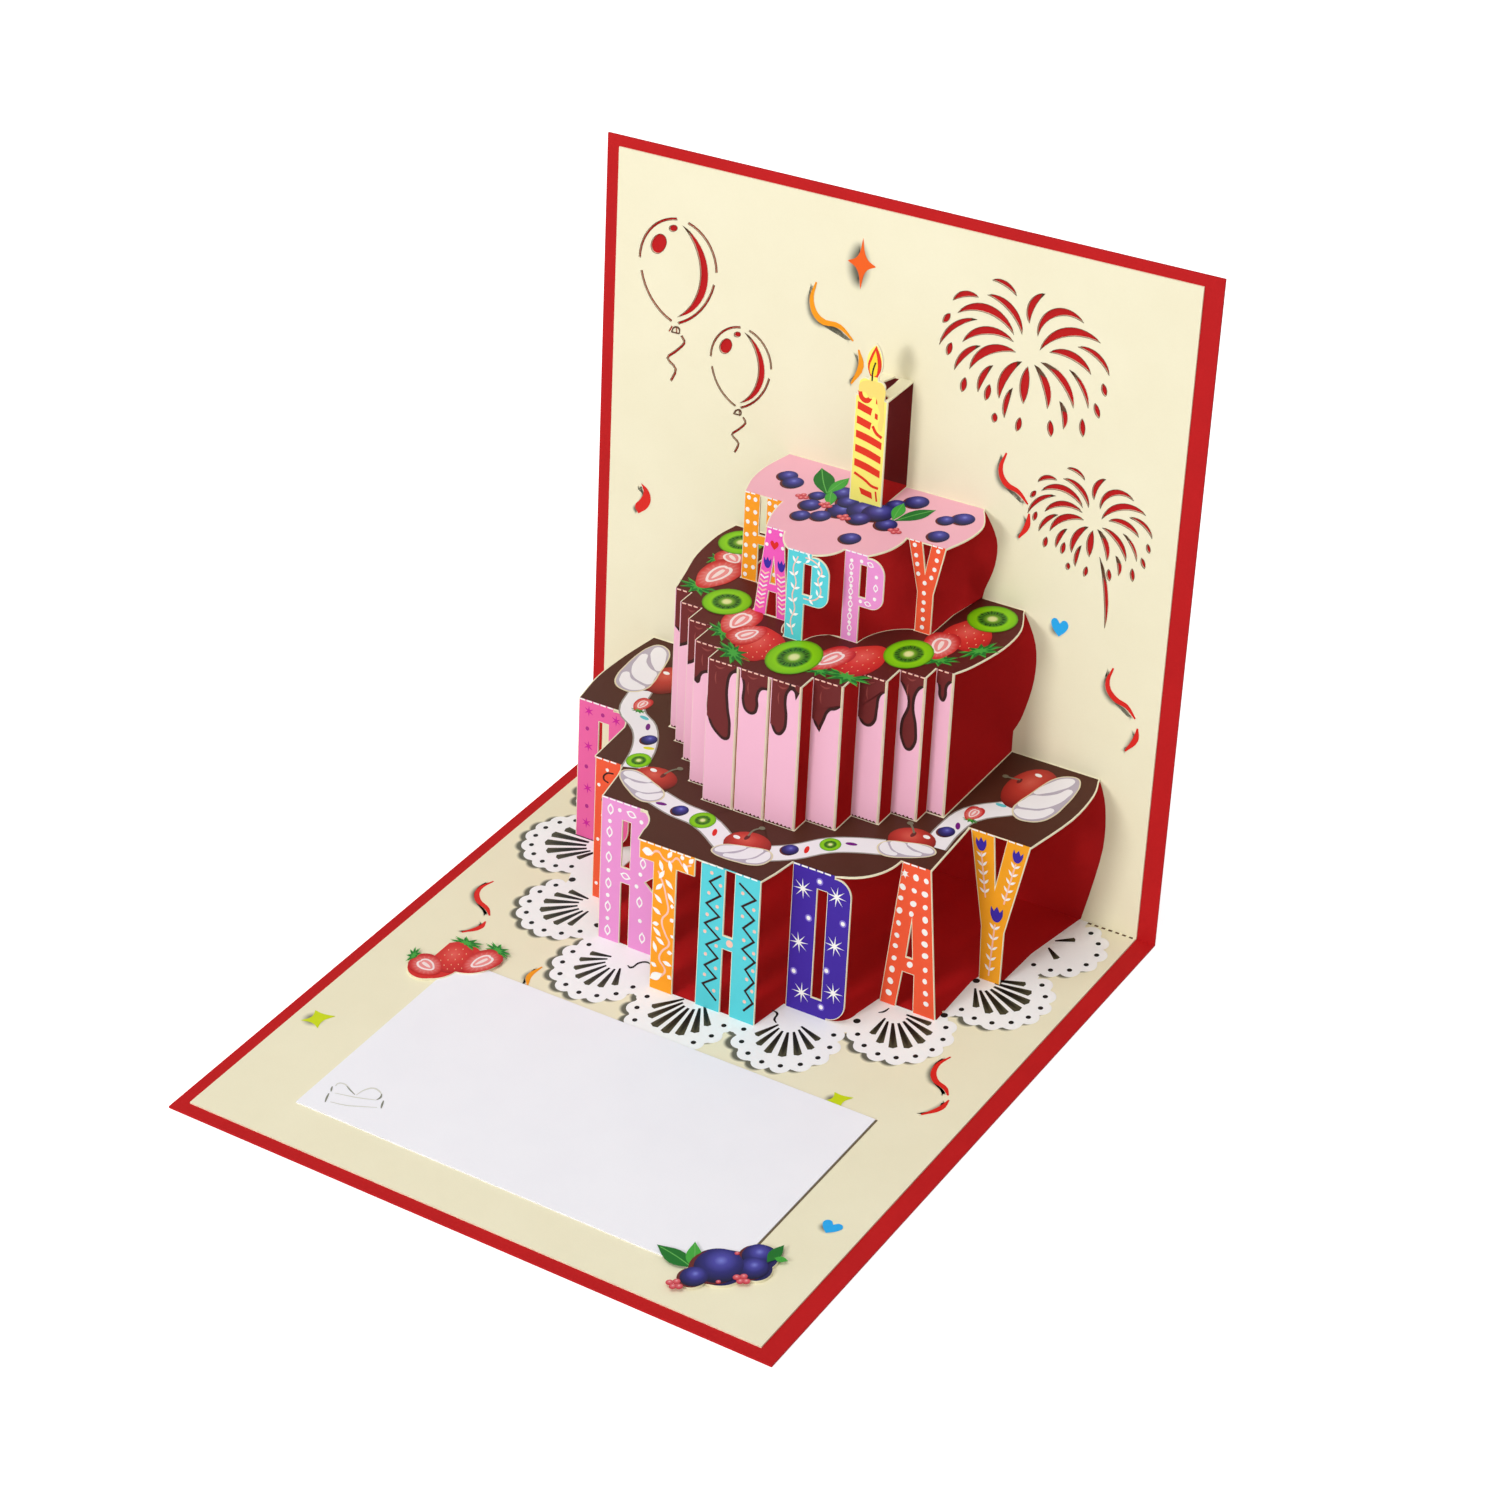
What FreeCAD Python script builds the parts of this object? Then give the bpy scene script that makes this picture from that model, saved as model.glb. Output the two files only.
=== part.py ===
import FreeCAD, Part
import math
import os

# An open pop up card. One printed sheet is die-cut, folded into a three tier
# cake with a candle and glued inside a red folded cover; a loose note card is
# tucked under two flaps of the sheet. Lengths are millimetres. Points are given
# by x along the crease, d out along the floor panel and h up the leaning wall.

panel_width = 150.0
panel_length = 150.0
opening_degrees = 99.5
cover_thickness = 0.45
sheet_thickness = 0.35
note_thickness = 0.3

margin_left = 3.3
margin_right = 4.3
margin_top = 2.4
margin_front = 2.9

tier_1 = 34.65
tier_2 = 68.0
tier_3 = 88.3
candle_top = 112.2
candle_depth = 10.3

depth_y = 29.0
depth_a = 46.3
depth_d = 57.8
depth_h = 67.0
small_y = 18.1
small_a = 28.3
small_p = 33.6

slat_depths = (28.5, 32.7, 37.7, 44.0, 48.4)
slat_edges = (
    (-33.7, -29.5),
    (-29.5, -24.0),
    (-24.0, -18.0),
    (-18.0, -11.6),
)
centre_slats = ((-11.6, -3.9), (-3.5, 3.9), (4.3, 11.8))
right_slat_edges = (
    (32.3, 36.6),
    (26.0, 32.3),
    (19.2, 26.0),
    (11.8, 19.2),
)

note_left = -52.3
note_right = 54.3
note_rear = 80.2
note_front = 136.0

slit_width = 0.4

sine = math.sin(math.radians(opening_degrees))
cosine = math.cos(math.radians(opening_degrees))
up_wall = FreeCAD.Vector(0, -cosine, sine)
skin = sheet_thickness / sine
board = cover_thickness / sine
note_rise = note_thickness / sine


def point(x, d, h):
    return FreeCAD.Vector(x, -d, 0) + up_wall * h


# A path is a list of steps. A step is a point, reached by a straight edge, or a
# pair (middle, end), reached by an arc.

def trace(steps, place):
    start = steps[0]
    edges = []
    for step in steps[1:] + [steps[0]]:
        if isinstance(step[0], tuple):
            middle, end = step
            edges.append(Part.Arc(place(start), place(middle), place(end)).toShape())
        else:
            end = step
            if end != start:
                edges.append(Part.makeLine(place(start), place(end)))
        start = end
    return Part.Wire(edges)


def panel(outer, holes, place, rise):
    wires = [trace(outer, place)]
    for hole in holes:
        wires.append(trace(hole, place))
    face = Part.makeFace(wires, "Part::FaceMakerBullseye")
    return face.extrude(rise)


# Level panels lie parallel to the floor, their top face at height h. Upright
# panels stand parallel to the wall, their front face at depth d.

def level(outer, h, holes=(), thick=skin):
    return panel(outer, holes, lambda p: point(p[0], p[1], h - thick), up_wall * thick)


def upright(outer, d, holes=(), thick=skin):
    return panel(outer, holes, lambda p: point(p[0], d - thick, p[1]), FreeCAD.Vector(0, -thick, 0))


def box_path(x0, x1, y0, y1):
    return [(x0, y0), (x1, y0), (x1, y1), (x0, y1)]


def raised(steps, base):
    result = []
    for step in steps:
        if isinstance(step[0], tuple):
            result.append(tuple((x, y + base) for x, y in step))
        else:
            result.append((step[0], step[1] + base))
    return result


# A smooth row of points through the given ones.

def smooth(knots, count=4):
    before = [knots[0]] + knots[:-1]
    after = knots[2:] + [knots[-1]]
    result = []
    for p, q, r, s in zip(before, knots, knots[1:], after):
        for step in range(count):
            t = step / count
            weights = (-t + 2 * t ** 2 - t ** 3, 2 - 5 * t ** 2 + 3 * t ** 3, t + 4 * t ** 2 - 3 * t ** 3, t ** 3 - t ** 2)
            result.append(tuple(sum(w * k[i] for w, k in zip(weights, (p, q, r, s))) / 2 for i in (0, 1)))
    return result + [knots[-1]]


# Side edges of each tier top, from the rear fold forward.

side_1_left = smooth([(-58.0, 0), (-59.4, 10), (-59.7, 20), (-58.2, depth_y)])
side_1_right = smooth([(58.3, 0), (60.3, 6), (60.7, 16), (58.3, depth_y)])
side_2_left = smooth([(-37.0, 0), (-38.2, 6), (-37.6, 15), (-35.6, 22), (-33.7, slat_depths[0])])
side_2_right = smooth([(36.8, 0), (40.2, 7), (40.6, 15), (38.6, 24), (36.6, slat_depths[0])])
side_3_left = smooth([(-24.0, 0), (-25.5, 7), (-25.3, 13), (-23.6, small_y)])
side_3_right = smooth([(25.2, 0), (28.8, 6), (28.9, 12), (26.9, small_y)])

candle_left = -2.1
candle_right = 5.9
flap_left = -1.5
flap_right = 5.1
flame_left = 1.5
flame_right = 2.6


def on_wall(side, h):
    return [(x, h - d) for x, d in side]


def wall_outline():
    left = -panel_width / 2 + margin_left
    right = panel_width / 2 - margin_right
    top = panel_length - margin_top
    steps = [(left, -skin), (-58.3, -skin)]
    steps += on_wall(side_1_left[:0:-1], tier_1)
    steps += [(side_1_left[0][0], tier_1 - skin), (side_2_left[-1][0], tier_1 - skin)]
    steps += on_wall(side_2_left[:0:-1], tier_2)
    steps += [(side_2_left[0][0], tier_2 - skin), (side_3_left[-1][0], tier_2 - skin)]
    steps += on_wall(side_3_left[:0:-1], tier_3)
    steps += [(side_3_left[0][0], tier_3 - skin), (candle_left, tier_3 - skin)]
    steps += [(candle_left, candle_top - skin), (flame_left, candle_top - skin)]
    steps += [(flame_right, candle_top - skin), (candle_right, candle_top - skin)]
    steps += [(candle_right, tier_3 - skin), (side_3_right[0][0], tier_3 - skin)]
    steps += on_wall(side_3_right[1:], tier_3)
    steps += [(26.4, tier_2 - skin), (side_2_right[0][0], tier_2 - skin)]
    steps += on_wall(side_2_right[1:], tier_2)
    steps += [(side_2_right[-1][0], tier_1 - skin), (side_1_right[0][0], tier_1 - skin)]
    steps += on_wall(side_1_right[1:], tier_1)
    steps += [(56.9, -skin), (right, -skin), (right, top), (left, top)]
    return steps


def floor_outline():
    left = -panel_width / 2 + margin_left
    right = panel_width / 2 - margin_right
    front = panel_length - margin_front
    steps = [(left, -skin), (-58.3, -skin), (-58.7, depth_y - skin), (-49.0, depth_y - skin)]
    steps += [((-45.4, 27.4), (-43.7, 24.0)), (-41.5, 24.0), (-41.5, depth_a - skin)]
    steps += [(-34.4, depth_a - skin), (-31.8, 49.0), (-31.5, depth_d - skin)]
    steps += [(-16.2, depth_d - skin), ((-12.6, 58.6), (-11.2, 61.5))]
    steps += [(-11.2, depth_h - skin), (15.8, depth_h - skin), (17.2, depth_d - skin)]
    steps += [(28.0, depth_d - skin), ((31.2, 56.0), (32.4, 52.6)), (33.7, depth_a - skin)]
    steps += [(48.1, depth_a - skin), (47.7, 31.0), (48.2, depth_y - skin)]
    steps += [(53.5, depth_y - skin), (53.9, 16.0), (56.9, -skin)]
    steps += [(right, -skin), (right, front), (left, front)]
    return steps


def tier_1_outline():
    steps = [(side_1_left[0][0], -skin)] + side_1_left[1:]
    steps += [(-48.6, depth_y), ((-44.8, 30.6), (-42.4, 34.0)), (-41.5, depth_a)]
    steps += [(-34.0, depth_a), (-32.8, 50.0), (-31.2, depth_d), (-21.0, depth_d)]
    steps += [((-17.4, 60.2), (-16.2, 64.0)), (-15.4, depth_h), (16.0, depth_h)]
    steps += [(17.0, 63.0), (17.8, depth_d), (28.2, depth_d), ((34.4, 54.2), (37.2, 48.0))]
    steps += [(37.3, depth_a), (44.5, depth_a), (43.6, 31.0), (43.4, depth_y)]
    steps += side_1_right[:0:-1] + [(side_1_right[0][0], -skin)]
    steps += [(right_slat_edges[0][1], -skin)]
    for edges, d in zip(right_slat_edges, slat_depths):
        steps += [(edges[1], d - skin), (edges[0], d - skin)]
    steps += [(centre_slats[2][1], slat_depths[4] - skin), (centre_slats[0][0], slat_depths[4] - skin)]
    for edges, d in zip(slat_edges[::-1], slat_depths[3::-1]):
        steps += [(edges[1], d - skin), (edges[0], d - skin)]
    steps += [(slat_edges[0][0], -skin)]
    return steps


def tier_2_outline():
    steps = [(side_2_left[0][0], -skin)] + side_2_left[1:-1]
    for edges, d in zip(slat_edges, slat_depths):
        steps += [(edges[0], d), (edges[1], d)]
    steps += [(centre_slats[0][0], slat_depths[4]), (centre_slats[2][1], slat_depths[4])]
    for edges, d in zip(right_slat_edges[::-1], slat_depths[3::-1]):
        steps += [(edges[0], d), (edges[1], d)]
    steps += side_2_right[-2:0:-1] + [(side_2_right[0][0], -skin), (26.4, -skin)]
    steps += [(24.5, 9.0), (24.4, small_y - skin), (20.5, small_y - skin)]
    steps += [((15.0, 21.6), (12.5, small_a - skin)), (8.4, small_a - skin)]
    steps += [((4.2, 29.4), (2.1, small_p - skin)), (-2.4, small_p - skin)]
    steps += [((-4.2, 31.4), (-4.8, small_a - skin)), (-13.8, small_a - skin)]
    steps += [((-16.0, 22.0), (-19.6, small_y - skin)), (-23.6, small_y - skin), (-23.6, -skin)]
    return steps


def tier_3_outline():
    steps = [(side_3_left[0][0], -skin)] + side_3_left[1:]
    steps += [(-14.0, small_y), ((-13.2, 23.6), (-11.4, small_a)), (-6.7, small_a)]
    steps += [((-5.2, 31.4), (-2.6, small_p)), (3.6, small_p), ((6.8, 31.6), (8.3, small_a))]
    steps += [(14.0, small_a), ((16.6, 24.4), (17.3, small_y)), (26.9, small_y)]
    steps += side_3_right[-2:0:-1] + [(side_3_right[0][0], -skin), (candle_right, -skin)]
    steps += [(candle_right, candle_depth - skin), (candle_left, candle_depth - skin)]
    steps += [(candle_left, -skin)]
    return steps


# Letters are own plain block forms; foot is the height where a letter's feet
# run into the panel below, and neck where its rounded shoulder meets the fold.

foot = -skin
tall = tier_1
short = tier_3 - tier_2
neck = tall - skin * 2
small_neck = short - skin * 2

big_letters = {
    "b": (depth_y, [
        (-58.2, foot), (-49.0, foot), (-49.0, skin), ((-45.4, 1.8), (-43.7, 5.4)), (-43.7, 12.6),
        (-45.8, 17.2), (-43.7, 21.8), (-43.7, 29.4), ((-45.2, 33.1), (-48.6, neck)), (-48.6, tall), (-58.2, tall)],
        [box_path(-52.6, -50.0, 4.4, 15.2), box_path(-52.6, -50.0, 19.2, 30.2)]),
    "i": (depth_a, box_path(-41.2, -34.4, foot, tall), []),
    "r": (depth_d, [
        (-31.3, foot), (-25.7, foot), (-25.7, 15.2), (-23.4, 15.2), (-23.4, foot), (-16.3, foot),
        (-16.3, 14.6), (-19.4, 17.2), (-16.3, 19.8), (-16.3, 30.0), ((-17.5, 33.0), (-21.0, neck)),
        (-21.0, tall), (-31.3, tall)],
        [box_path(-25.7, -23.5, 19.0, 30.3)]),
    "t": (depth_h, [
        (-11.2, foot), (-5.3, foot), (-5.3, 30.2), (-0.7, 30.2), (-0.7, tall), (-14.9, tall),
        (-14.9, 30.2), (-11.2, 30.2)],
        []),
    "h": (depth_h, [
        (0.7, foot), (7.0, foot), (7.0, 15.6), (9.4, 15.6), (9.4, foot), (15.8, foot),
        (15.8, tall), (9.4, tall), (9.4, 18.8), (7.0, 18.8), (7.0, tall), (0.9, tall)],
        []),
    "d": (depth_d, [
        (17.8, foot), (28.0, foot), (28.0, skin), ((31.1, 1.8), (32.3, 4.8)), (32.3, 30.2),
        ((31.1, 33.1), (28.2, neck)), (28.2, tall), (17.8, tall)],
        [box_path(24.0, 26.5, 4.3, 30.2)]),
    "a": (depth_a, [
        (34.1, foot), (38.0, foot), (39.2, 8.9), (42.0, 8.9), (42.4, foot), (47.9, foot),
        (44.3, tall), (37.5, tall)],
        [[(39.8, 12.6), (41.4, 12.6), (40.6, 21.0)]]),
    "y": (depth_y, [
        (48.4, foot), (53.5, foot), (53.5, 12.5), (58.1, tall), (52.5, tall), (50.5, 22.8),
        (49.3, tall), (43.6, tall), (47.9, 12.5)],
        []),
}

small_letters = {
    "h": (small_y, [
        (-23.6, foot), (-19.6, foot), (-19.6, 8.8), (-17.9, 8.8), (-17.9, foot), (-14.0, foot),
        (-14.0, short), (-17.9, short), (-17.9, 11.0), (-19.6, 11.0), (-19.6, short),
        (-23.6, short)],
        []),
    "a": (small_a, [
        (-13.6, foot), (-10.6, foot), (-10.0, 5.6), (-8.1, 5.6), (-7.8, foot), (-5.0, foot),
        (-6.9, short), (-11.2, short)],
        [[(-9.8, 7.5), (-8.4, 7.5), (-9.1, 13.0)]]),
    "p": (small_p, [
        (-2.4, foot), (2.1, foot), (2.1, 8.6), (5.0, 8.6), ((7.2, 9.5), (8.0, 11.7)),
        (8.0, 16.2), ((6.7, 18.9), (3.6, small_neck)), (3.6, short), (-2.4, short)],
        [box_path(1.7, 3.6, 10.8, 17.7)]),
    "q": (small_a, [
        (8.4, foot), (12.5, foot), (12.5, 8.4), (15.3, 8.4), ((17.4, 9.3), (18.2, 11.5)),
        (18.2, 16.2), ((17.0, 18.9), (14.0, small_neck)), (14.0, short), (8.4, short)],
        [box_path(12.3, 13.9, 10.5, 17.8)]),
    "y": (small_y, [
        (20.5, foot), (24.4, foot), (24.4, 9.0), (26.8, short), (23.2, short), (22.1, 13.8),
        (20.9, short), (17.6, short), (20.5, 9.0)],
        []),
}


def letters(table, base):
    result = []
    for depth, outer, counters in table.values():
        holes = [raised(counter, base) for counter in counters]
        result.append(upright(raised(outer, base), depth, holes))
    return result


def slats():
    result = []
    rows = list(zip(slat_edges, slat_depths)) + list(zip(right_slat_edges, slat_depths))
    rows += [(edges, slat_depths[4]) for edges in centre_slats]
    for (x0, x1), d in rows:
        result.append(upright(box_path(x0, x1, tier_1 - skin, tier_2), d))
    return result


def candle():
    low = tier_3 - skin
    top = candle_top
    front = upright([
        (candle_left, low), (candle_right, low), (candle_right, top), (flap_right, top),
        (flap_right, top + 3.0), ((4.5, top + 3.8), (3.4, top + 4.0)), (3.3, top + 4.8),
        ((4.2, top + 7.6), (2.4, top + 12.0)), ((0.0, top + 7.6), (1.1, top + 4.8)),
        (0.9, top + 4.0), ((-0.8, top + 3.8), (flap_left, top + 2.8)), (flap_left, top),
        (candle_left, top)], candle_depth)
    strip_left = level([
        (candle_left, -skin), (flame_left, -skin), (0.1, 3.4), (0.9, 6.3), (flap_left, 7.5),
        (flap_left, candle_depth), (candle_left, candle_depth)], top)
    strip_right = level([
        (flame_right, -skin), (candle_right, -skin), (candle_right, candle_depth),
        (flap_right, candle_depth), (flap_right, 8.3), (2.9, 7.3), (2.9, 3.2)], top)
    return [front, strip_left, strip_right]


# Petals of the firework cut-outs: root, tip and the bows of both edges, in
# millimetres from the burst centre. A petal bows to the left of its own line.

petals = (
    ((-0.7, 5.3), (2.4, 12.3), 1.9, 0.8),
    ((1.5, 3.0), (11.8, 8.2), 4.2, 3.0),
    ((2.3, 0.2), (16.0, 4.9), 3.7, 2.3),
    ((4.6, 0.2), (14.5, -2.2), 2.3, 1.1),
    ((2.8, -2.4), (11.2, -10.4), 2.4, 1.2),
    ((1.4, -3.3), (5.2, -12.0), 1.9, 0.6),
    ((-0.2, -4.1), (-0.6, -12.3), 0.6, -1.1),
    ((-6.4, -12.5), (-1.7, -3.3), 2.2, 0.8),
    ((-13.9, -7.8), (-3.3, -1.6), 3.0, 1.6),
    ((-16.0, -2.3), (-4.0, 0.5), 3.0, 1.8),
    ((-17.6, 3.7), (-4.0, 2.0), 3.9, 2.5),
    ((-10.9, 9.1), (-2.1, 2.5), 2.6, 1.5),
    ((-10.0, 12.5), (-4.1, 10.4), 1.2, 0.6),
    ((-19.0, 6.1), (-13.0, 8.1), 1.4, 0.6),
    ((-21.5, -4.2), (-12.9, 3.3), 1.9, 1.2),
    ((-17.5, -8.8), (-11.7, -2.2), 1.4, 0.6),
    ((-11.5, -12.3), (-8.4, -5.7), 1.2, 0.3),
    ((-4.8, -16.4), (-3.4, -9.5), 0.9, 0.1),
    ((7.9, -9.7), (9.3, -15.5), 1.2, 0.3),
    ((9.5, -2.4), (14.6, -9.6), 1.3, 0.7),
    ((11.0, 2.9), (18.7, -1.5), 1.8, 1.1),
    ((-21.0, 0.8), (-19.4, 3.0), 0.4, -0.4),
    ((-19.4, -6.0), (-18.6, -3.2), 0.5, -0.4),
    ((-15.3, -13.2), (-14.7, -10.0), 0.5, -0.5),
    ((-9.5, -13.7), (-8.8, -10.1), 0.5, -0.5),
    ((-7.2, -18.0), (-7.0, -16.0), 0.4, -0.5),
    ((-1.6, -18.6), (-1.0, -15.5), 0.4, -0.5),
    ((6.5, -17.8), (6.0, -14.4), 0.5, -0.5),
    ((13.9, -16.0), (13.4, -12.2), 0.5, -0.4),
    ((17.2, -11.1), (16.0, -8.2), 0.4, -0.4),
    ((18.2, -6.1), (17.4, -3.6), 0.4, -0.4),
)

burst_1 = (33.0, 126.0)
burst_2 = (51.3, 93.2)
burst_2_scale = 0.73
petal_gain = 0.17


def bowed(start, end, bow):
    middle_x = (start[0] + end[0]) / 2
    middle_y = (start[1] + end[1]) / 2
    dx = end[0] - start[0]
    dy = end[1] - start[1]
    length = math.hypot(dx, dy)
    return (middle_x - dy / length * bow, middle_y + dx / length * bow)


def crescent(start, end, outer_bow, inner_bow):
    return [start, (bowed(start, end, outer_bow), end), (bowed(start, end, inner_bow), start)]


def scaled(steps, origin, scale):
    def move(p):
        return (origin[0] + p[0] * scale, origin[1] + p[1] * scale)
    result = []
    for step in steps:
        if isinstance(step[0], tuple):
            result.append(tuple(move(p) for p in step))
        else:
            result.append(move(step))
    return result


def burst(centre, scale):
    result = []
    for start, end, outer_bow, inner_bow in petals:
        petal = crescent(start, end, outer_bow + petal_gain, inner_bow - petal_gain)
        result.append(scaled(petal, centre, scale))
    return result


def slit(points, middle_of_arc=None):
    half = slit_width / 2
    left = []
    right = []
    for index, here in enumerate(points):
        before = points[max(index - 1, 0)]
        after = points[min(index + 1, len(points) - 1)]
        dx = after[0] - before[0]
        dy = after[1] - before[1]
        length = math.hypot(dx, dy)
        left.append((here[0] - dy / length * half, here[1] + dx / length * half))
        right.append((here[0] + dy / length * half, here[1] - dx / length * half))
    if len(points) == 3 and middle_of_arc:
        return [left[0], (left[1], left[2]), right[2], (right[1], right[0])]
    return left + right[::-1]


# Balloon cut-outs, in millimetres from the knot.

balloon_arcs = (
    ((-9.9, 13.3), (-7.3, 20.3), (-0.4, 24.0)),
    ((2.6, 23.7), (8.0, 20.3), (10.4, 14.2)),
    ((-9.3, 10.4), (-5.9, 4.0), (-0.9, 0.6)),
    ((0.9, 0.5), (6.3, 4.4), (9.9, 11.3)),
)
balloon_string = smooth([(1.9, -2.2), (2.7, -3.7), (0.4, -6.2), (-1.6, -8.2), (0.7, -10.2), (-0.5, -13.2)], 3)
balloon_knots = (((-0.7, -0.5), (-1.5, -2.0)), ((0.4, -0.3), (0.6, -2.1)))
balloon_knot_1 = (-55.4, 110.7)
balloon_knot_2 = (-37.9, 95.3)
balloon_2_scale = 0.78


def ellipse_path(centre, long_half, short_half, degrees):
    turn = math.radians(degrees)
    def spot(angle):
        a = math.radians(angle)
        x = long_half * math.cos(a)
        y = short_half * math.sin(a)
        return (centre[0] + x * math.cos(turn) - y * math.sin(turn),
                centre[1] + x * math.sin(turn) + y * math.cos(turn))
    return [spot(0), (spot(30), spot(60)), (spot(90), spot(120)), (spot(150), spot(180)),
            (spot(210), spot(240)), (spot(270), spot(300)), (spot(330), spot(0))]


def balloon(knot, scale):
    shapes = [slit(arc, True) for arc in balloon_arcs]
    shapes += [slit(knot_line) for knot_line in balloon_knots]
    shapes += [slit(balloon_string)]
    shapes += [crescent((1.2, 22.8), (0.7, 1.9), 7.3, 5.3)]
    shapes += [ellipse_path((-5.0, 17.4), 2.5, 1.7, 55)]
    shapes += [ellipse_path((-1.3, 21.7), 1.1, 0.65, 22)]
    return [scaled(steps, knot, scale) for steps in shapes]


def rocket_stick():
    return crescent((53.4, 84.9), (56.1, 69.4), 1.3, 0.4)


def wall_windows():
    holes = burst(burst_1, 1.0) + burst(burst_2, burst_2_scale) + [rocket_stick()]
    return holes + balloon(balloon_knot_1, 1.0) + balloon(balloon_knot_2, balloon_2_scale)


def note():
    return level(box_path(note_left, note_right, note_rear, note_front), note_rise, (), note_rise)


# The two fruit flaps: solid down to the floor outside the note card, one sheet
# thick above it.

strawberry_flap = [
    (-57.6, 76.8), ((-54.0, 75.2), (-50.0, 75.8)), ((-44.6, 75.9), (-44.2, 79.6)),
    ((-46.6, 83.0), (-50.2, 84.4)), ((-51.4, 87.4), (-53.6, 89.2)),
    ((-58.2, 90.0), (-61.0, 87.0)), ((-61.0, 83.6), (-57.6, 82.4))]
blueberry_flap = [
    (55.4, 124.0), ((59.6, 124.4), (60.8, 128.2)), ((61.4, 131.8), (57.6, 133.4)),
    ((55.8, 137.2), (51.8, 138.4)), ((50.2, 141.0), (47.0, 139.6)), (47.0, 137.0),
    ((46.8, 131.0), (50.6, 128.4)), (54.2, 127.4)]


def flap(steps, room):
    face = Part.Face(trace(steps, lambda p: FreeCAD.Vector(p[0], -p[1], -sheet_thickness)))
    solid = face.extrude(FreeCAD.Vector(0, 0, sheet_thickness * 2 + note_thickness))
    return solid.cut(room)


# Windows are cut square through the wall, so their round edges are true arcs.

def cut_windows(wall):
    through = sheet_thickness * 3
    square = FreeCAD.Vector(0, sine, cosine)
    cutters = []
    for steps in wall_windows():
        wire = trace(steps, lambda p: point(p[0], 0, p[1]) - square * through)
        cutters.append(Part.Face(wire).extrude(square * (through * 2)))
    return wall.cut(cutters)


def shaped_sheet():
    pieces = [cut_windows(upright(wall_outline(), 0)), level(floor_outline(), 0)]
    pieces += [level(tier_1_outline(), tier_1), level(tier_2_outline(), tier_2)]
    pieces += [level(tier_3_outline(), tier_3)]
    pieces += letters(big_letters, 0) + letters(small_letters, tier_2) + slats() + candle()
    room = note()
    pieces += [flap(strawberry_flap, room), flap(blueberry_flap, room)]
    return pieces[0].fuse(pieces[1:]).removeSplitter()


def folded_cover():
    half = panel_width / 2
    under = skin + board
    floor = level(box_path(-half, half, -under, panel_length), -skin, (), board)
    wall = upright(box_path(-half, half, -under, panel_length), -skin, (), board)
    return floor.fuse(wall).removeSplitter()


def write_parts():
    os.makedirs("parts", exist_ok=True)
    shapes = {"cover": folded_cover(), "pop_up_sheet": shaped_sheet(), "note_card": note()}
    box = shapes["cover"].BoundBox
    centre_y = (box.YMin + box.YMax) / 2
    for name, shape in shapes.items():
        shape.translate(FreeCAD.Vector(0, -centre_y, -box.ZMin))
        print(name, shape.isValid(), len(shape.Solids), round(shape.Volume, 1), shape.BoundBox)
        shape.exportStep("parts/" + name + ".step")


write_parts()
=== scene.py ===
import math
import random

import bmesh
import bpy
from mathutils import Matrix, Vector


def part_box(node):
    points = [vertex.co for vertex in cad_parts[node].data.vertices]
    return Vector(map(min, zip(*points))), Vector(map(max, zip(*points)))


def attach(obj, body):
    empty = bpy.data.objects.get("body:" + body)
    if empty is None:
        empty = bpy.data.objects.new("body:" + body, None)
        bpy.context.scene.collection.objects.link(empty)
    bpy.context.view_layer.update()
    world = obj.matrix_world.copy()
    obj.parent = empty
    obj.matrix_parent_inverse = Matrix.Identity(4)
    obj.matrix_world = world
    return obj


# Looks of the open pop up card. The folded solids stay as packed and get card and paper
# finishes; everything printed on them is a very thin layer of its own, laid on the card.

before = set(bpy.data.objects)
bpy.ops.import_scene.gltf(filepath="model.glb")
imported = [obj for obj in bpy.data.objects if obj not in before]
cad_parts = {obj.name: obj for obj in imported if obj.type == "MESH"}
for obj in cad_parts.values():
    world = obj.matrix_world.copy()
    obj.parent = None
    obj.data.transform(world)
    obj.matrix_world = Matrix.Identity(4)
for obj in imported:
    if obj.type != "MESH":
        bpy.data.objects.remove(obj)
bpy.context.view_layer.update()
random.seed(5)

mm = 0.001
body = "root"

# Places on the card are in millimetres: x along the crease, d out from the crease along
# the floor, h up the leaning wall.
card = {
    "openDegrees": 99.5,
    "panelLength": 150.0,
    "sheetTop": 0.8,
    "tier1": 34.65,
    "tier2": 68.0,
    "tier3": 88.3,
    "candleTop": 112.2,
    "candleDepth": 10.3,
    "flapTop": 1.45,
    "sheetThick": 0.35,
}
ink = {"thick": 0.03, "step": 0.02, "hair": 0.00113, "turnOver": 0, "cutEdge": 0.3, "dash": 1.2, "gap": 0.8}

lean = math.radians(card["openDegrees"] - 90)
wallUp = Vector((0, math.sin(lean), math.cos(lean)))
wallOut = Vector((0, -math.cos(lean), math.sin(lean)))
coverLow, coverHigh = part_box("cover")
creaseY = coverHigh.y / mm - card["panelLength"] * math.sin(lean) - card["sheetTop"] / math.cos(lean)


def spot(x, d, h):
    return Vector((x, creaseY - d, card["sheetTop"])) * mm + wallUp * (h * mm)


def cardPlace(point):
    h = (point.z / mm - card["sheetTop"]) / wallUp.z
    return point.x / mm, creaseY + wallUp.y * h - point.y / mm, h


# A face that takes print: level faces use (x, d) at height h, upright faces (x, h) at depth d.
def levelFace(h):
    return {"level": True, "at": h, "along": Vector((0, -1, 0)), "out": Vector((0, 0, 1)),
            "origin": spot(0, 0, h)}


def uprightFace(d):
    return {"level": False, "at": d, "along": wallUp, "out": wallOut, "origin": spot(0, d, 0)}


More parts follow.
